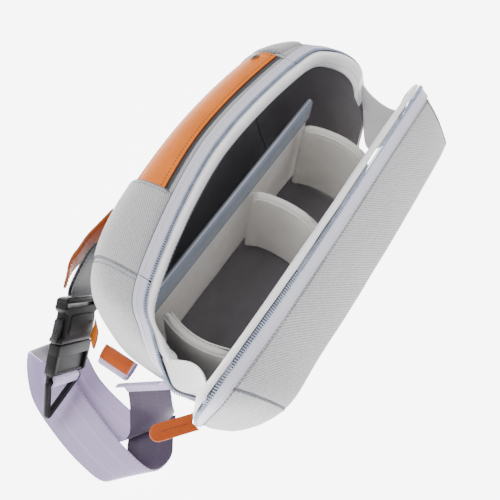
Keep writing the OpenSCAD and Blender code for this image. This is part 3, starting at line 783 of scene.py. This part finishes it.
def inflate(obj, voxel, pressure, cap):
    """Fills a padded piece with air as sewn cloth; each point stays within cap millimetres of its place."""
    remesh = obj.modifiers.new("even", "REMESH")
    remesh.mode = "VOXEL"
    remesh.voxel_size = voxel * MM
    apply_modifiers(obj)
    before = np.array([v.co for v in obj.data.vertices])
    cloth = obj.modifiers.new("air", "CLOTH")
    for key, value in {
        "quality": 6, "mass": 0.25, "tension_stiffness": 25, "compression_stiffness": 25,
        "shear_stiffness": 12, "bending_stiffness": 1.2,
        "use_pressure": True, "uniform_pressure_force": pressure,
    }.items():
        setattr(cloth.settings, key, value)
    cloth.settings.effector_weights.gravity = 0
    cloth.collision_settings.use_collision = False
    cloth.point_cache.frame_start = 1
    cloth.point_cache.frame_end = 20
    scene = bpy.context.scene
    for f in range(1, 21):
        scene.frame_set(f)
    apply_modifiers(obj)
    scene.frame_set(1)
    step = np.array([v.co for v in obj.data.vertices]) - before
    far = np.linalg.norm(step, axis=1, keepdims=True)
    step *= np.minimum(1, cap * MM / np.maximum(far, 1e-9))
    obj.data.vertices.foreach_set("co", (before + step).astype(np.float32).ravel())
    relax = obj.modifiers.new("even", "SMOOTH")
    relax.factor = 0.5
    relax.iterations = 3
    finer = obj.modifiers.new("finer", "SUBSURF")
    finer.levels = finer.render_levels = 1
    apply_modifiers(obj)
    obj.data.polygons.foreach_set("use_smooth", [True] * len(obj.data.polygons))


def apply_modifiers(obj):
    bpy.context.view_layer.update()
    deps = bpy.context.evaluated_depsgraph_get()
    mesh = bpy.data.meshes.new_from_object(obj.evaluated_get(deps), depsgraph=deps)
    obj.modifiers.clear()
    old = obj.data
    obj.data = mesh
    if not len(mesh.materials):
        for m in old.materials:
            mesh.materials.append(m)


def build_floor_pad():
    pad = pad_block("floor_padding", 242, 93, 9, FLOOR_Z + 0.3, FLOOR_Z + 5 - 0.8, 3, INSIDE_GREY_AND_SHADE, 0.8)
    inflate(pad, 4.5, 3, 1.2)
    fit_padded(pad, 0.5, "root", "divider", "floor_pad")


DIVIDER_FOOT = 8.8
DIVIDER_TALL = 92
DIVIDER_HALF = 3.7


def divider_rings(x, bow, hook):
    """Rings of a padded divider standing across the bag: rounded top, soft corners, and a hooked rear end."""
    y = np.linspace(-39.5, 28, 40)
    plan = np.c_[x + bow * (1 - ((y + 5.75) / 34) ** 2), y]
    if hook:
        turn = np.linspace(0.15, 1.2, 7)
        bend = np.c_[plan[-1, 0] - hook * (1 - np.cos(turn)), 28 - 3.5 + 3.8 * np.sin(turn)]
        plan = np.vstack([plan[:-3], bend])
    ahead = unit(np.gradient(plan, axis=0))
    side = np.c_[-ahead[:, 1], ahead[:, 0]]
    run = np.linspace(-1, 1, len(plan))
    top = DIVIDER_FOOT + DIVIDER_TALL - 9 * np.abs(run) ** 10
    rise = [(1, 0.03), (1, 0.25), (1.04, 0.5), (1.03, 0.75), (1, 0.93)]
    rings = []
    for p, n, z, r in zip(plan, side, top, run):
        half = DIVIDER_HALF * (1 - 0.5 * abs(r) ** 14)
        ring = [(off, DIVIDER_FOOT + (z - DIVIDER_FOOT) * h) for off, h in [(-0.9, 0), (0.9, 0)] + rise]
        for a in np.linspace(0.15, pi - 0.15, 9):
            ring.append((cos(a), z - half + half * sin(a)))
        ring += [(-off, DIVIDER_FOOT + (z - DIVIDER_FOOT) * h) for off, h in rise[::-1]]
        rings.append([(p[0] + n[0] * o * half, p[1] + n[1] * o * half, h) for o, h in ring])
    return np.array(rings), plan, side, top


def build_dividers():
    for name, x, bow, hook in (("left", -112, -9, 0), ("middle", 16, 7, 9), ("right", 106, 8, 9)):
        rings, plan, side, top = divider_rings(x, bow, hook)
        pad = tube_of("divider_padding_" + name, rings, DIVIDER, 70)
        inflate(pad, 4.0, 4, 1.0)
        fit_padded(pad, 0.7, "divider_" + name, "divider", "divider_" + name)
        b = Build()
        for s in (-1, 1):
            line = np.c_[plan + side * s * 3.75, top - 4.4][2:-2]
            out = np.c_[side[2:-2] * s, np.zeros(len(line))]
            b.tube(line, 0.5, 6)
            stitches(b, line - [0, 0, 2.2] + out * 0.05, out, 1.9, 3.0, 0.2)
        seam = b.make("divider_seams_" + name, [DIVIDER_EDGE], weld=False)
        fit(seam, "divider_" + name, "divider")


def build_slip():
    """The slip pocket's wall, with a folded binding over its top edge."""
    half, low, high, y = 123.8, 8.8, 108.8, 35
    gx, gz = np.meshgrid(np.linspace(-half, half, 70), np.linspace(low, high, 26), indexing="ij")
    edge = np.clip(np.minimum((half - np.abs(gx)) / 6, (high - gz) / 6), 0, 1) ** 0.5
    puff = np.clip(bumpy(np.stack([gx, gx * 0, gz], -1), 38, 0.7, 2.0), -0.4, 0.6)
    thick = 1.5 + 0.4 * edge
    faces = [np.stack([gx, y + rise * np.maximum(edge, 0.2), gz], -1) for rise in (-(thick + puff), thick)]
    panel = slab("slip_panel", *faces, [DIVIDER, BINDING, BINDING], (0, 1, 2), 60)
    fit_padded(panel, 0.5, "root", "divider", "slip_divider")
    outline = [(2.9, 92.0), (2.9, 103.0)]
    outline += [(2.9 * cos(a), 112.0 + 2.9 * sin(a)) for a in np.linspace(0, pi, 11)]
    outline += [(-2.9, 103.0), (-2.9, 92.0), (-2.1, 92.0), (-2.1, 111.0), (2.1, 111.0), (2.1, 92.0)]
    xs = np.linspace(-123.4, 123.4, 60)
    band = tube_of("slip_binding", np.array([[(x, y + o, h) for o, h in outline] for x in xs]), BINDING, 50)
    fit(band, "root", "binding", "slip_divider_binding")

    def straight(forward, z):
        return np.c_[xs, np.full(60, y + forward), np.full(60, z)]

    # A lighter strip along the crest of the binding: painted highlight where light falls on its top.
    ridge = Build().tube(straight(0.0, 114.6), 1.0, 8, flat=0.5)
    fit(ridge.make("slip_ridge_highlight", [BINDING_HIGHLIGHT]), "root", "binding")
    rows = [(straight(side * 3.05, 98.5), (0, side, 0)) for side in (-1.0, 1.0)]
    sew("slip_thread", "root", "binding", rows, 2.0, 3.2, 0.22)


# ---------- Gussets in the mouth ----------
def gore_cloth(node, rear_us, front_us, tuck, low_push, high_push, seed):
    """Soft cloth from the rear zip to the front half; the pushes move the middle of its end rows."""
    s = np.linspace(0, 1, 30)[:, None]
    rows = []
    for t in np.linspace(0, 1, 30):
        u = rear_us[0] + (rear_us[1] - rear_us[0]) * t
        f = front_us[0] + (front_us[1] - front_us[0]) * t
        a = rear.along_edge([u], tuck, -1.2)[0]
        c = curve(front.edge, f) - front.outward(np.array(f)) * 8 - np.array([0, 0, 3])
        mid = (a + c) / 2 + (np.array(low_push) * (1 - t) + np.array(high_push) * t)
        rows.append(a * (1 - s) ** 2 + mid * 2 * s * (1 - s) + c * s**2)
    g = np.array(rows)
    g = g + bumpy(g, 16, 1.6, seed)[..., None] * np.array([0.3, 0.3, 1.0])
    d1, d2 = np.gradient(g, axis=0), np.gradient(g, axis=1)
    n = unit(np.cross(d1, d2))
    cloth = slab(node + "_cloth", g + n * 0.5, g - n * 0.5, [LINING], smooth_angle=70)
    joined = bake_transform(cloth)
    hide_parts(node)
    side = sqrt(np.linalg.norm(np.cross(d1[:-1, :-1], d2[:-1, :-1]), axis=2).sum() * MM * MM)


def build_gores():
    gore_cloth("left_gore", (0.0, 0.2), (0.02, 0.11), 8.5, (7, -3, -6), (26, -10, 7), 3.0)
    gore_cloth("right_gore", (1.0, 0.91), (0.985, 0.88), 7, (-6, 0, -70), (-3, 0, -14), 6.0)


# ---------- Leather ----------
def band_on_back(name, x0, x1, v0, v1, low, height, materials, paint, count):
    """A band along the back between two heights; height is the share of a rise for each row across it."""
    us = back_u(np.linspace(x0, x1, count))
    vs = (v0 + v1) / 2 + (v1 - v0) / 2 * np.linspace(-1, 1, 17)
    top = rear.grid(us, vs, np.broadcast_to(low + height, (count, 17)))
    return slab(name, top, rear.grid(us, vs, low), materials, paint, 50)


def build_handle():
    v0, v1 = 0.7034, 0.938
    share = np.abs(np.linspace(-1, 1, 17))
    crown = 2.4 * (0.86 + 0.14 * (1 - share**6)) - 0.35 * np.exp(-(((share - 0.8) / 0.05) ** 2))
    for name, x0, x1, node, hold in (
        ("handle_leather_left", -56, -28.6, "handle_left_end", (-0.046, -0.0286)),
        ("handle_leather", -28.6, 92.6, "handle_grip", None),
        ("handle_leather_right", 92.6, 112.5, "handle_right_end", (0.104, 0.0926)),
    ):
        piece = band_on_back(name, x0, x1, v0, v1, 1.2, crown, [LEATHER, LEATHER_EDGE], (0, 0, 1), 40)
        b = Build()
        for side in (-0.82, 0.82):
            u = back_u(np.linspace(max(x0, -46), x1, 60))
            stitches(b, *rear.on(u, (v0 + v1) / 2 + (v1 - v0) / 2 * side, 3.35), 2.1, 3.1, 0.27)
        if node == "handle_right_end":
            v = np.linspace(v0 + 0.02, v1 - 0.02, 30)
            stitches(b, *rear.on(back_u(109.5), v, 3.5), 2.1, 3.1, 0.27)
        thread = b.make(name + "_thread", [TAN_THREAD], weld=False)
        for p in (piece, thread):
            if hold:
                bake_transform(p)
            else:
                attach(p, "handle")
        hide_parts(node)
    # A dark band under the handle, wider than it on both sides: partly a backing strip, partly painted shadow
    # of the raised handle.
    backing = band_on_back("handle_backing_and_shadow", -50, 116, 0.68, 0.955, 0.35, 0.65, [BACKING_AND_SHADOW_CLOTH], (0, 0, 0), 50)
    fit(backing, "back_half", "canvas")


def sleeve(name, us, low_v, high_v, lift, body, node):
    """A canvas layer over the shoulder, thinning to nothing at its sewn sides."""
    s = np.linspace(0, 1, 26)
    u = np.repeat(us[:, None], 26, 1)
    v = low_v + (np.broadcast_to(high_v, len(us))[:, None] - low_v) * s[None, :]
    p, n = rear.wall(u, v), rear.normal(u, v)
    height = 0.5 + (lift[:, None] - 0.5) * np.minimum(1, np.minimum(s, 1 - s) / 0.06)[None, :] ** 0.6
    height = height + 0.3 * bumpy(p, 20, 1.0, 8.0)
    piece = slab(name, p + n * height[..., None], p + n * 0.3, CANVAS_SIDES, (0, 0, 1))
    fit(piece, body, "canvas", node)


def build_sleeves():
    run = np.linspace(0, 1, 36)
    lift = 0.5 + 3.9 * np.clip(run * 1.4, 0, 1) ** 0.8
    us = back_u(np.linspace(-0.695 * HALF, -47.4, 36))
    sleeve("sleeve_canvas_left", us, 0.55, 0.982, lift, "back_half", "sleeve_left")
    v = np.linspace(0.57, 0.97, 40)
    b = Build()
    stitches(b, *rear.on(back_u(-49.5), v, 4.5), 2.2, 3.2, 0.24)
    out = rear.on(back_u(-49.5), v, 0)[1]
    b.tube(rear.on(back_u(-47.2), v, 0)[0] + out * 3.9, 0.7, 6)
    fit(b.make("sleeve_hem", [SEAM], weld=False), "back_half", "canvas")
    run = np.linspace(0, 1, 30)
    high = 0.66 + 0.27 * np.clip(run / 0.25, 0, 1)
    lift = 4.4 - 2.4 * np.clip((run - 0.2) / 0.5, 0, 1)
    sleeve("sleeve_canvas_right", np.linspace(0.612, 0.70, 30), 0.58, high, lift, "right", "sleeve_right")


# ---------- Straps and hardware at the left ----------
BUCKLE = np.array([-146.0, 95, 89])
ACROSS = unit(np.array([6.0, -1, -8]))
LEAN = unit(np.array([8, 3, 5.6]))
UP = unit(LEAN - ACROSS * (ACROSS @ LEAN))
BACK = np.cross(UP, ACROSS)


def in_buckle(points):
    """From the buckle's own frame (across, back, up) to the bag's."""
    return BUCKLE + np.asarray(points, float) @ np.array([ACROSS, BACK, UP])


def along(stations, s):
    """Centres and width directions at shares s of a strap, and its stations' centres."""
    centres = [c for c, _ in stations]
    return curve(centres, s), unit(curve([d for _, d in stations], s)), centres


def ribbon(name, stations, width, thickness, materials, rings, cup=0.0, paint=(0, 0, 0)):
    """A flat strap along stations of (centre, width direction)."""
    s = np.linspace(0, 1, rings)
    c, side, centres = along(stations, s)
    ahead = curve(centres, np.minimum(s + 0.01, 1)) - curve(centres, np.maximum(s - 0.01, 0))
    face = unit(np.cross(ahead, side))
    across = np.linspace(-1, 1, 15)
    rim = np.where(np.abs(across) > 0.96, 0.75, 1.0) * thickness / 2
    bow = cup * (across**2 - 0.3)
    flat = c[:, None] + side[:, None] * (across * width / 2)[None, :, None]
    top, low = [flat + face[:, None] * (bow + way * rim)[None, :, None] for way in (1, -1)]
    return slab(name, top, low, materials, paint, 50)


def lie(bearing, tilt=0):
    """Width direction of a strap from its bearing on the table and its tilt, in degrees."""
    b, t = radians(bearing), radians(tilt)
    return (cos(b) * cos(t), sin(b) * cos(t), sin(t))


STRAP_WIDTH = 38
STRAP_THICK = 1.6
LOOP_WIDTH = 28
STRAP_FRONT = [
    (in_buckle([22, 14.5, -55]), ACROSS), ((-172, 105, 34), lie(-25, -20)),
    ((-184, 100, 18), lie(-30, -10)), ((-198, 84, 7), lie(-30)),
    ((-210, 50, 11), lie(-35, 5)), ((-218, 15, 14), lie(-40, 10)),
    ((-218, -10, 10), lie(-45, 5)), ((-200, -14, 3), lie(-50)),
    ((-185, -6, 1.8), lie(-50)), ((-169, 3, 1.6), lie(-50)),
]
STRAP_BACK = [
    ((-174, 93, 3), lie(-25)), ((-184, 72, 2), lie(-28)), ((-190, 45, 3), lie(-28)),
    ((-192, 20, 5), lie(-30)), ((-187, 4, 8), lie(-35, 5)), ((-176, -1, 15), lie(-35, 5)),
    ((-167, 5, 25), lie(-58, 20)), ((-157, 14, 38), lie(-60, 22)),
]
STRAP_FOLD = [(p, lie(-60, 22)) for p in ((-159, 13, 37), (-158.5, 16, 43), (-160, 19, 49), (-164, 20, 49))]
SIDE_LOOP = [((x, 46, z), lie(90)) for x, z in
             ((-149, 49), (-157, 48), (-163, 43), (-161, 37), (-153, 37), (-147, 40))]
BLACK_WEB = [((-100, 97, 97), (0.05, 0, -1)), ((-110, 98, 94), (0.2, 0, -1)),
             (in_buckle([23, 3.5, 10]), ACROSS), (in_buckle([23, 3.5, 1]), ACROSS)]


def build_straps():
    for node, stations in (("strap_front_run", STRAP_FRONT), ("strap_back_run", STRAP_BACK)):
        # The back faces of the strap runs take the darker webbing copy: painted shade.
        faces = [WEBBING, WEBBING_PAINTED_SHADE]
        strap = ribbon(node + "_webbing", stations, STRAP_WIDTH, STRAP_THICK, faces, 200, 0.35, (0, 1, 0))
        fit(strap, "root", "webbing", node)
    fit(ribbon("strap_end_fold", STRAP_FOLD, STRAP_WIDTH, 1.4, [WEBBING] * 2, 30), "root", "webbing")
    loop = ribbon("side_loop_webbing", SIDE_LOOP, LOOP_WIDTH, STRAP_THICK, [WEBBING] * 2, 60)
    fit(loop, "root", "webbing", "side_loop")
    for name, lift, node in (("anchor_webbing_1", 0, ["anchor_webbing"]), ("anchor_webbing_2", 3.2, [])):
        moved = [(np.array(p) + BACK * lift, d) for p, d in BLACK_WEB]
        layer = ribbon(name, moved, 30, 1.4, [BLACK_WEBBING] * 2, 50)
        fit(layer, "root", "black_webbing", *node)


def leather_strap(name, nodes_for, stations, width, rings=60, material=None, stitched=True):
    """A leather strap with a row of stitches near each side, on both faces."""
    strap = ribbon(name, stations, width, 2.4, [material or LEATHER, LEATHER_EDGE], rings, 0.3, (0, 0, 1))
    pieces = [strap]
    if stitched:
        c, side, _ = along(stations, np.linspace(0.02, 0.98, 60))
        face = unit(np.cross(np.gradient(c, axis=0), side))
        b = Build()
        for k in (-1, 1):
            for way in (-1, 1):
                row = c + side * k * (width / 2 - 2.6) + face * way * 1.22
                stitches(b, row, face * way, 2.0, 3.0, 0.24)
        pieces.append(b.make(name + "_thread", [TAN_THREAD], weld=False))
    for p in pieces:
        if "anchor_strap_left" in nodes_for:
            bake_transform(p)
        else:
            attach(p, "root")
    for node in nodes_for:
        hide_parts(node)


ANCHOR = [((-72, 103.5, 104), (0, 0.2, 1)), ((-88, 106, 102), (0, 0.1, 1)), ((-102, 109, 99), (0.1, 0, 1)),
          ((-114.4, 110.5, 95), (0.2, -0.1, 1)), ((-121, 111.5, 92), (0.3, -0.1, 1)),
          ((-127, 111, 89), (0.35, -0.1, 1)), ((-132, 109, 87), (0.4, -0.1, 1))]
ANCHOR_RIGHT = [((126, 106, 104), (0, 0, 1)), ((140, 106, 103), (0.1, 0, 1)),
                ((153, 101, 101), (0.2, 0, 1)), ((163, 92, 98), (0.3, 0, 1))]
PATCH = [(p, lie(90)) for p in ((-151, 45, 57), (-156, 45, 55), (-161, 45, 51))]
PULL = [(p, lie(50)) for p in ((-140, 80, 45), (-146, 77, 44), (-153, 75, 41))]


def build_leather():
    anchor_nodes = ["anchor_strap_left", "anchor_loop_left"]
    # The left anchor and the side patch take the darker leather copy as painted shade; the right anchor keeps
    # the plain leather.
    leather_strap("anchor_leather_left", anchor_nodes, ANCHOR, 24, material=LEATHER_SHADED)
    leather_strap("anchor_leather_right", ["anchor_loop_right"], ANCHOR_RIGHT, 30)
    leather_strap("side_patch", ["side_loop_patch"], PATCH, LOOP_WIDTH, 24, LEATHER_SHADED)
    # The pull tab takes the lighter leather copy: painted highlight.
    leather_strap("corner_pull_tab", ["corner_pull"], PULL, 12, 16, LEATHER_LIT, stitched=False)
    build_zip_tab()


def build_zip_tab():
    """Leather tab at the zip's left end: notched at the zip, round at its tip, with one row of stitches."""
    length, width, thick = 35, 13, 2.4
    half = width / 2
    outline = [(0, half), (3.4, 0.3), (3.4, -0.3), (0, -half)]
    centre = length - half
    outline += [(centre + half * sin(a), -half * cos(a)) for a in np.linspace(0, pi, 17)]
    flat = np.array(outline)
    middle = np.array([length / 2, 0])
    rings = []
    for inset, z in ((0.9, 0), (0.15, 0.35), (0, 1.0), (0.05, 1.7), (0.5, 2.2), (1.3, thick)):
        shape = middle + (flat - middle) * (1 - inset / half * np.array([0.4, 1.0]))
        rings.append(np.c_[shape, np.full(len(flat), z)])
    turn = radians(140)
    spin = np.array([[cos(turn), sin(turn), 0], [-sin(turn), cos(turn), 0], [0, 0, 1]])
    place = np.array([-167, -41, 84])
    # The tab takes the darker leather copy: painted shade.
    tab = tube_of("zip_tab_leather", np.array(rings) @ spin + place, LEATHER_SHADED, 50)
    b = Build()
    line = np.c_[np.linspace(7, length - 7, 30), np.zeros(30), np.full(30, thick + 0.03)] @ spin + place
    stitches(b, line, (0, 0, 1), 2.0, 2.9, 0.3)
    fit(tab, "front_half", "leather", "zip_end_tab")
    fit(b.make("zip_tab_thread", [TAN_THREAD], weld=False), "front_half", "leather")


# ---------- Buckle, in its own frame: x across, y back, z up ----------
def block(b, radius, *rows):
    """A body with rounded corners; each row is (z, x0, x1, y0, y1)."""
    rings = []
    for z, x0, x1, y0, y1 in rows:
        r = min(radius, (x1 - x0) / 2.01, (y1 - y0) / 2.01)
        rings.append(np.c_[rounded_rectangle(x0, x1, y0, y1, r, 6), np.full(24, z)])
    b.grid(in_buckle(rings), closed=True, caps=True)


def build_socket():
    """A shell with waisted sides, a long window on each edge for the prongs, and a raised plate."""
    b = Build()
    block(b, 2.2, (0, 3, 43, 2.4, 9.6), (-0.8, 1.0, 45, 1.0, 11), (-2.2, 0.2, 45.8, 0.2, 11.8),
          (-3.0, 0, 46, 0, 12), (-3.6, 0.2, 45.8, 0.3, 11.7))
    block(b, 2.0, (-6.6, 0.4, 45.6, 0.4, 11.6), (-7.2, 0, 46, 0, 12), (-9, 0.1, 45.9, 0, 12),
          (-11, 1.6, 44.4, 0, 12), (-13, 4.4, 41.6, 0, 12), (-31, 4.4, 41.6, 0.1, 11.9),
          (-33, 1.4, 44.6, 0, 12), (-35.6, 0.2, 45.8, 0, 12), (-36.6, 0.6, 45.4, 0.5, 11.5),
          (-37, 1.6, 44.4, 1.4, 10.6))
    for x0 in (0.1, 43.1):
        block(b, 0.6, (-3.2, x0, x0 + 2.8, 1, 11), (-7.2, x0, x0 + 2.8, 1, 11))
    block(b, 0.5, (-13.5, 10, 36, -0.5, 1), (-15, 8.5, 37.5, -0.6, 1),
          (-28, 8.5, 37.5, -0.6, 1), (-29.5, 10, 36, -0.5, 1))
    fit(b.make("buckle_socket_body", [PLASTIC], 32), "root", "plastic", "buckle_socket")


def build_plug():
    """A tongue bar, two slots for the webbing and a stepped end."""
    b = Build()
    block(b, 1.8, (-37.6, 2.4, 43.6, 1.2, 10.8), (-38.4, 1.2, 44.8, 0.6, 11.4),
          (-46.5, 1.0, 45.0, 0.5, 11.5), (-47.6, 1.4, 44.6, 0.9, 11.1))
    for z, radius in ((-54.4, 2.3), (-63.2, 3.0)):
        b.tube(in_buckle([(x, 6, z) for x in np.linspace(2, 44, 12)]), radius, 14)
    block(b, 1.0, (-47, 4, 42, 3.6, 8.6), (-61.5, 4, 42, 3.8, 8.2))
    for x0 in (1.0, 40.6):
        block(b, 1.3, (-46.8, x0, x0 + 4.4, 0.8, 11.2), (-55, x0 + 0.2, x0 + 4.2, 1.0, 11),
              (-62, x0, x0 + 4.4, 1.2, 10.8), (-63.9, x0 + 0.8, x0 + 3.6, 2.6, 9.4))
    fit(b.make("buckle_plug_body", [PLASTIC], 32), "buckle_plug", "plastic", "buckle_plug")


def build_prong(side, x0, x1, near, far, edge):
    """A spring prong with three ridges on its edge; its grip bulges at the near or the far side."""
    b = Build()
    shape = ((-36.8, -0.6), (-35.5, 0.2), (-30, 0.5), (-22, 0.3), (-18.5, 0.1), (-17.2, -0.9))
    block(b, 1.1, *[(z, x0 - out * near, x1 + out * far, 3.6, 8.4) for z, out in shape])
    for z in (-33.2, -31.4, -29.6):
        b.tube(in_buckle([(edge, y, z) for y in np.linspace(4.0, 8.0, 6)]), 0.4, 6)
    # The prong grips take the lighter plastic copy: painted highlight.
    prong = b.make("prong_grip_" + side, [PLASTIC_HIGHLIGHT], 32)
    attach(prong, "prong_" + side)
    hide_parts("prong_" + side)


RING_Z = -69.2


def build_ring():
    """A closed ring: a bar at the top and two legs that meet in a rounded point."""
    corners = np.array([[3, 0], [43, 0], [10, -31]], float)
    closed = []
    for k in range(3):
        a, c, d = corners[k - 1], corners[k], corners[(k + 1) % 3]
        p0, p1 = c + unit(a - c) * 3.4, c + unit(d - c) * 3.4
        t = np.linspace(0, 1, 7)[:, None]
        closed.append(p0 * (1 - t) ** 2 + c * 2 * t * (1 - t) + p1 * t**2)
        closed.append(p1 + (d + unit(c - d) * 3.4 - p1) * np.linspace(0, 1, 8)[1:-1, None])
    loop = np.vstack(closed)
    path = in_buckle(np.c_[loop[:, 0], np.full(len(loop), 6.0), loop[:, 1] + RING_Z])
    away = unit(np.cross(unit(np.roll(path, -1, 0) - np.roll(path, 1, 0)), BACK))
    a = np.linspace(0, 2 * pi, 12, endpoint=False)[:, None]
    wide, deep = [np.sign(f) * np.abs(f) ** 0.7 for f in (np.cos(a), np.sin(a))]
    rings = [p + wide * 2.7 * w + deep * 2.4 * BACK for p, w in zip(path, away)]
    ring = Build().grid(np.array(rings + rings[:1]), closed=True).make("pull_ring_body", [PLASTIC], 50)
    fit(ring, "pull_ring", "plastic", "pull_ring")


def build_roll():
    """Webbing rolled around the ring's bar, each turn a little further out."""
    faces = []
    for r in (4.9, 3.6):
        rows = []
        for t in np.linspace(0, 2 * pi * 1.12, 34):
            reach = r + 0.9 * t / 7
            y, z = 6 + reach * cos(t + 2.2), RING_Z + reach * sin(t + 2.2)
            rows.append(in_buckle([(x, y, z) for x in np.linspace(4.5, 35.5, 9)]))
        faces.append(np.array(rows))
    roll = slab("adjuster_roll", *faces, [WEBBING], smooth_angle=60)
    fit(roll, "buckle_plug", "webbing", "adjuster_webbing")


def build_buckle():
    build_socket()
    build_plug()
    build_prong("near", -1.5, 4.5, 1, 0, -1.8)
    build_prong("far", 41.5, 47.5, 0, 1, 47.8)
    build_ring()
    build_roll()


def polish(node, material, bevel):
    """Keeps a CAD node with its own shape, softens its edges and gives it a finished material."""
    o = nodes[node]
    o.data.materials.clear()
    o.data.materials.append(material)
    m = o.modifiers.new("soft_edges", "BEVEL")
    m.width = bevel * MM
    m.segments = 3
    m.limit_method = "ANGLE"
    m.angle_limit = radians(40)


def build_small():
    polish("zip_slider", METAL, 0.25)
    polish("handle_rivet", METAL, 0.3)
    polish("zip_pull", LEATHER, 0.5)
    fit(pad_block("base_canvas", 270, 123, 16, 0, 3, 0, CANVAS, 0.0), "root", "canvas", "base_panel")


add_camera()
add_studio()
build_front()
build_rear()
build_zip()
build_lips()
build_linings()
build_floor_pad()
build_dividers()
build_slip()
build_gores()
build_handle()
build_sleeves()
build_straps()
build_leather()
build_buckle()
build_small()

bpy.context.view_layer.update()
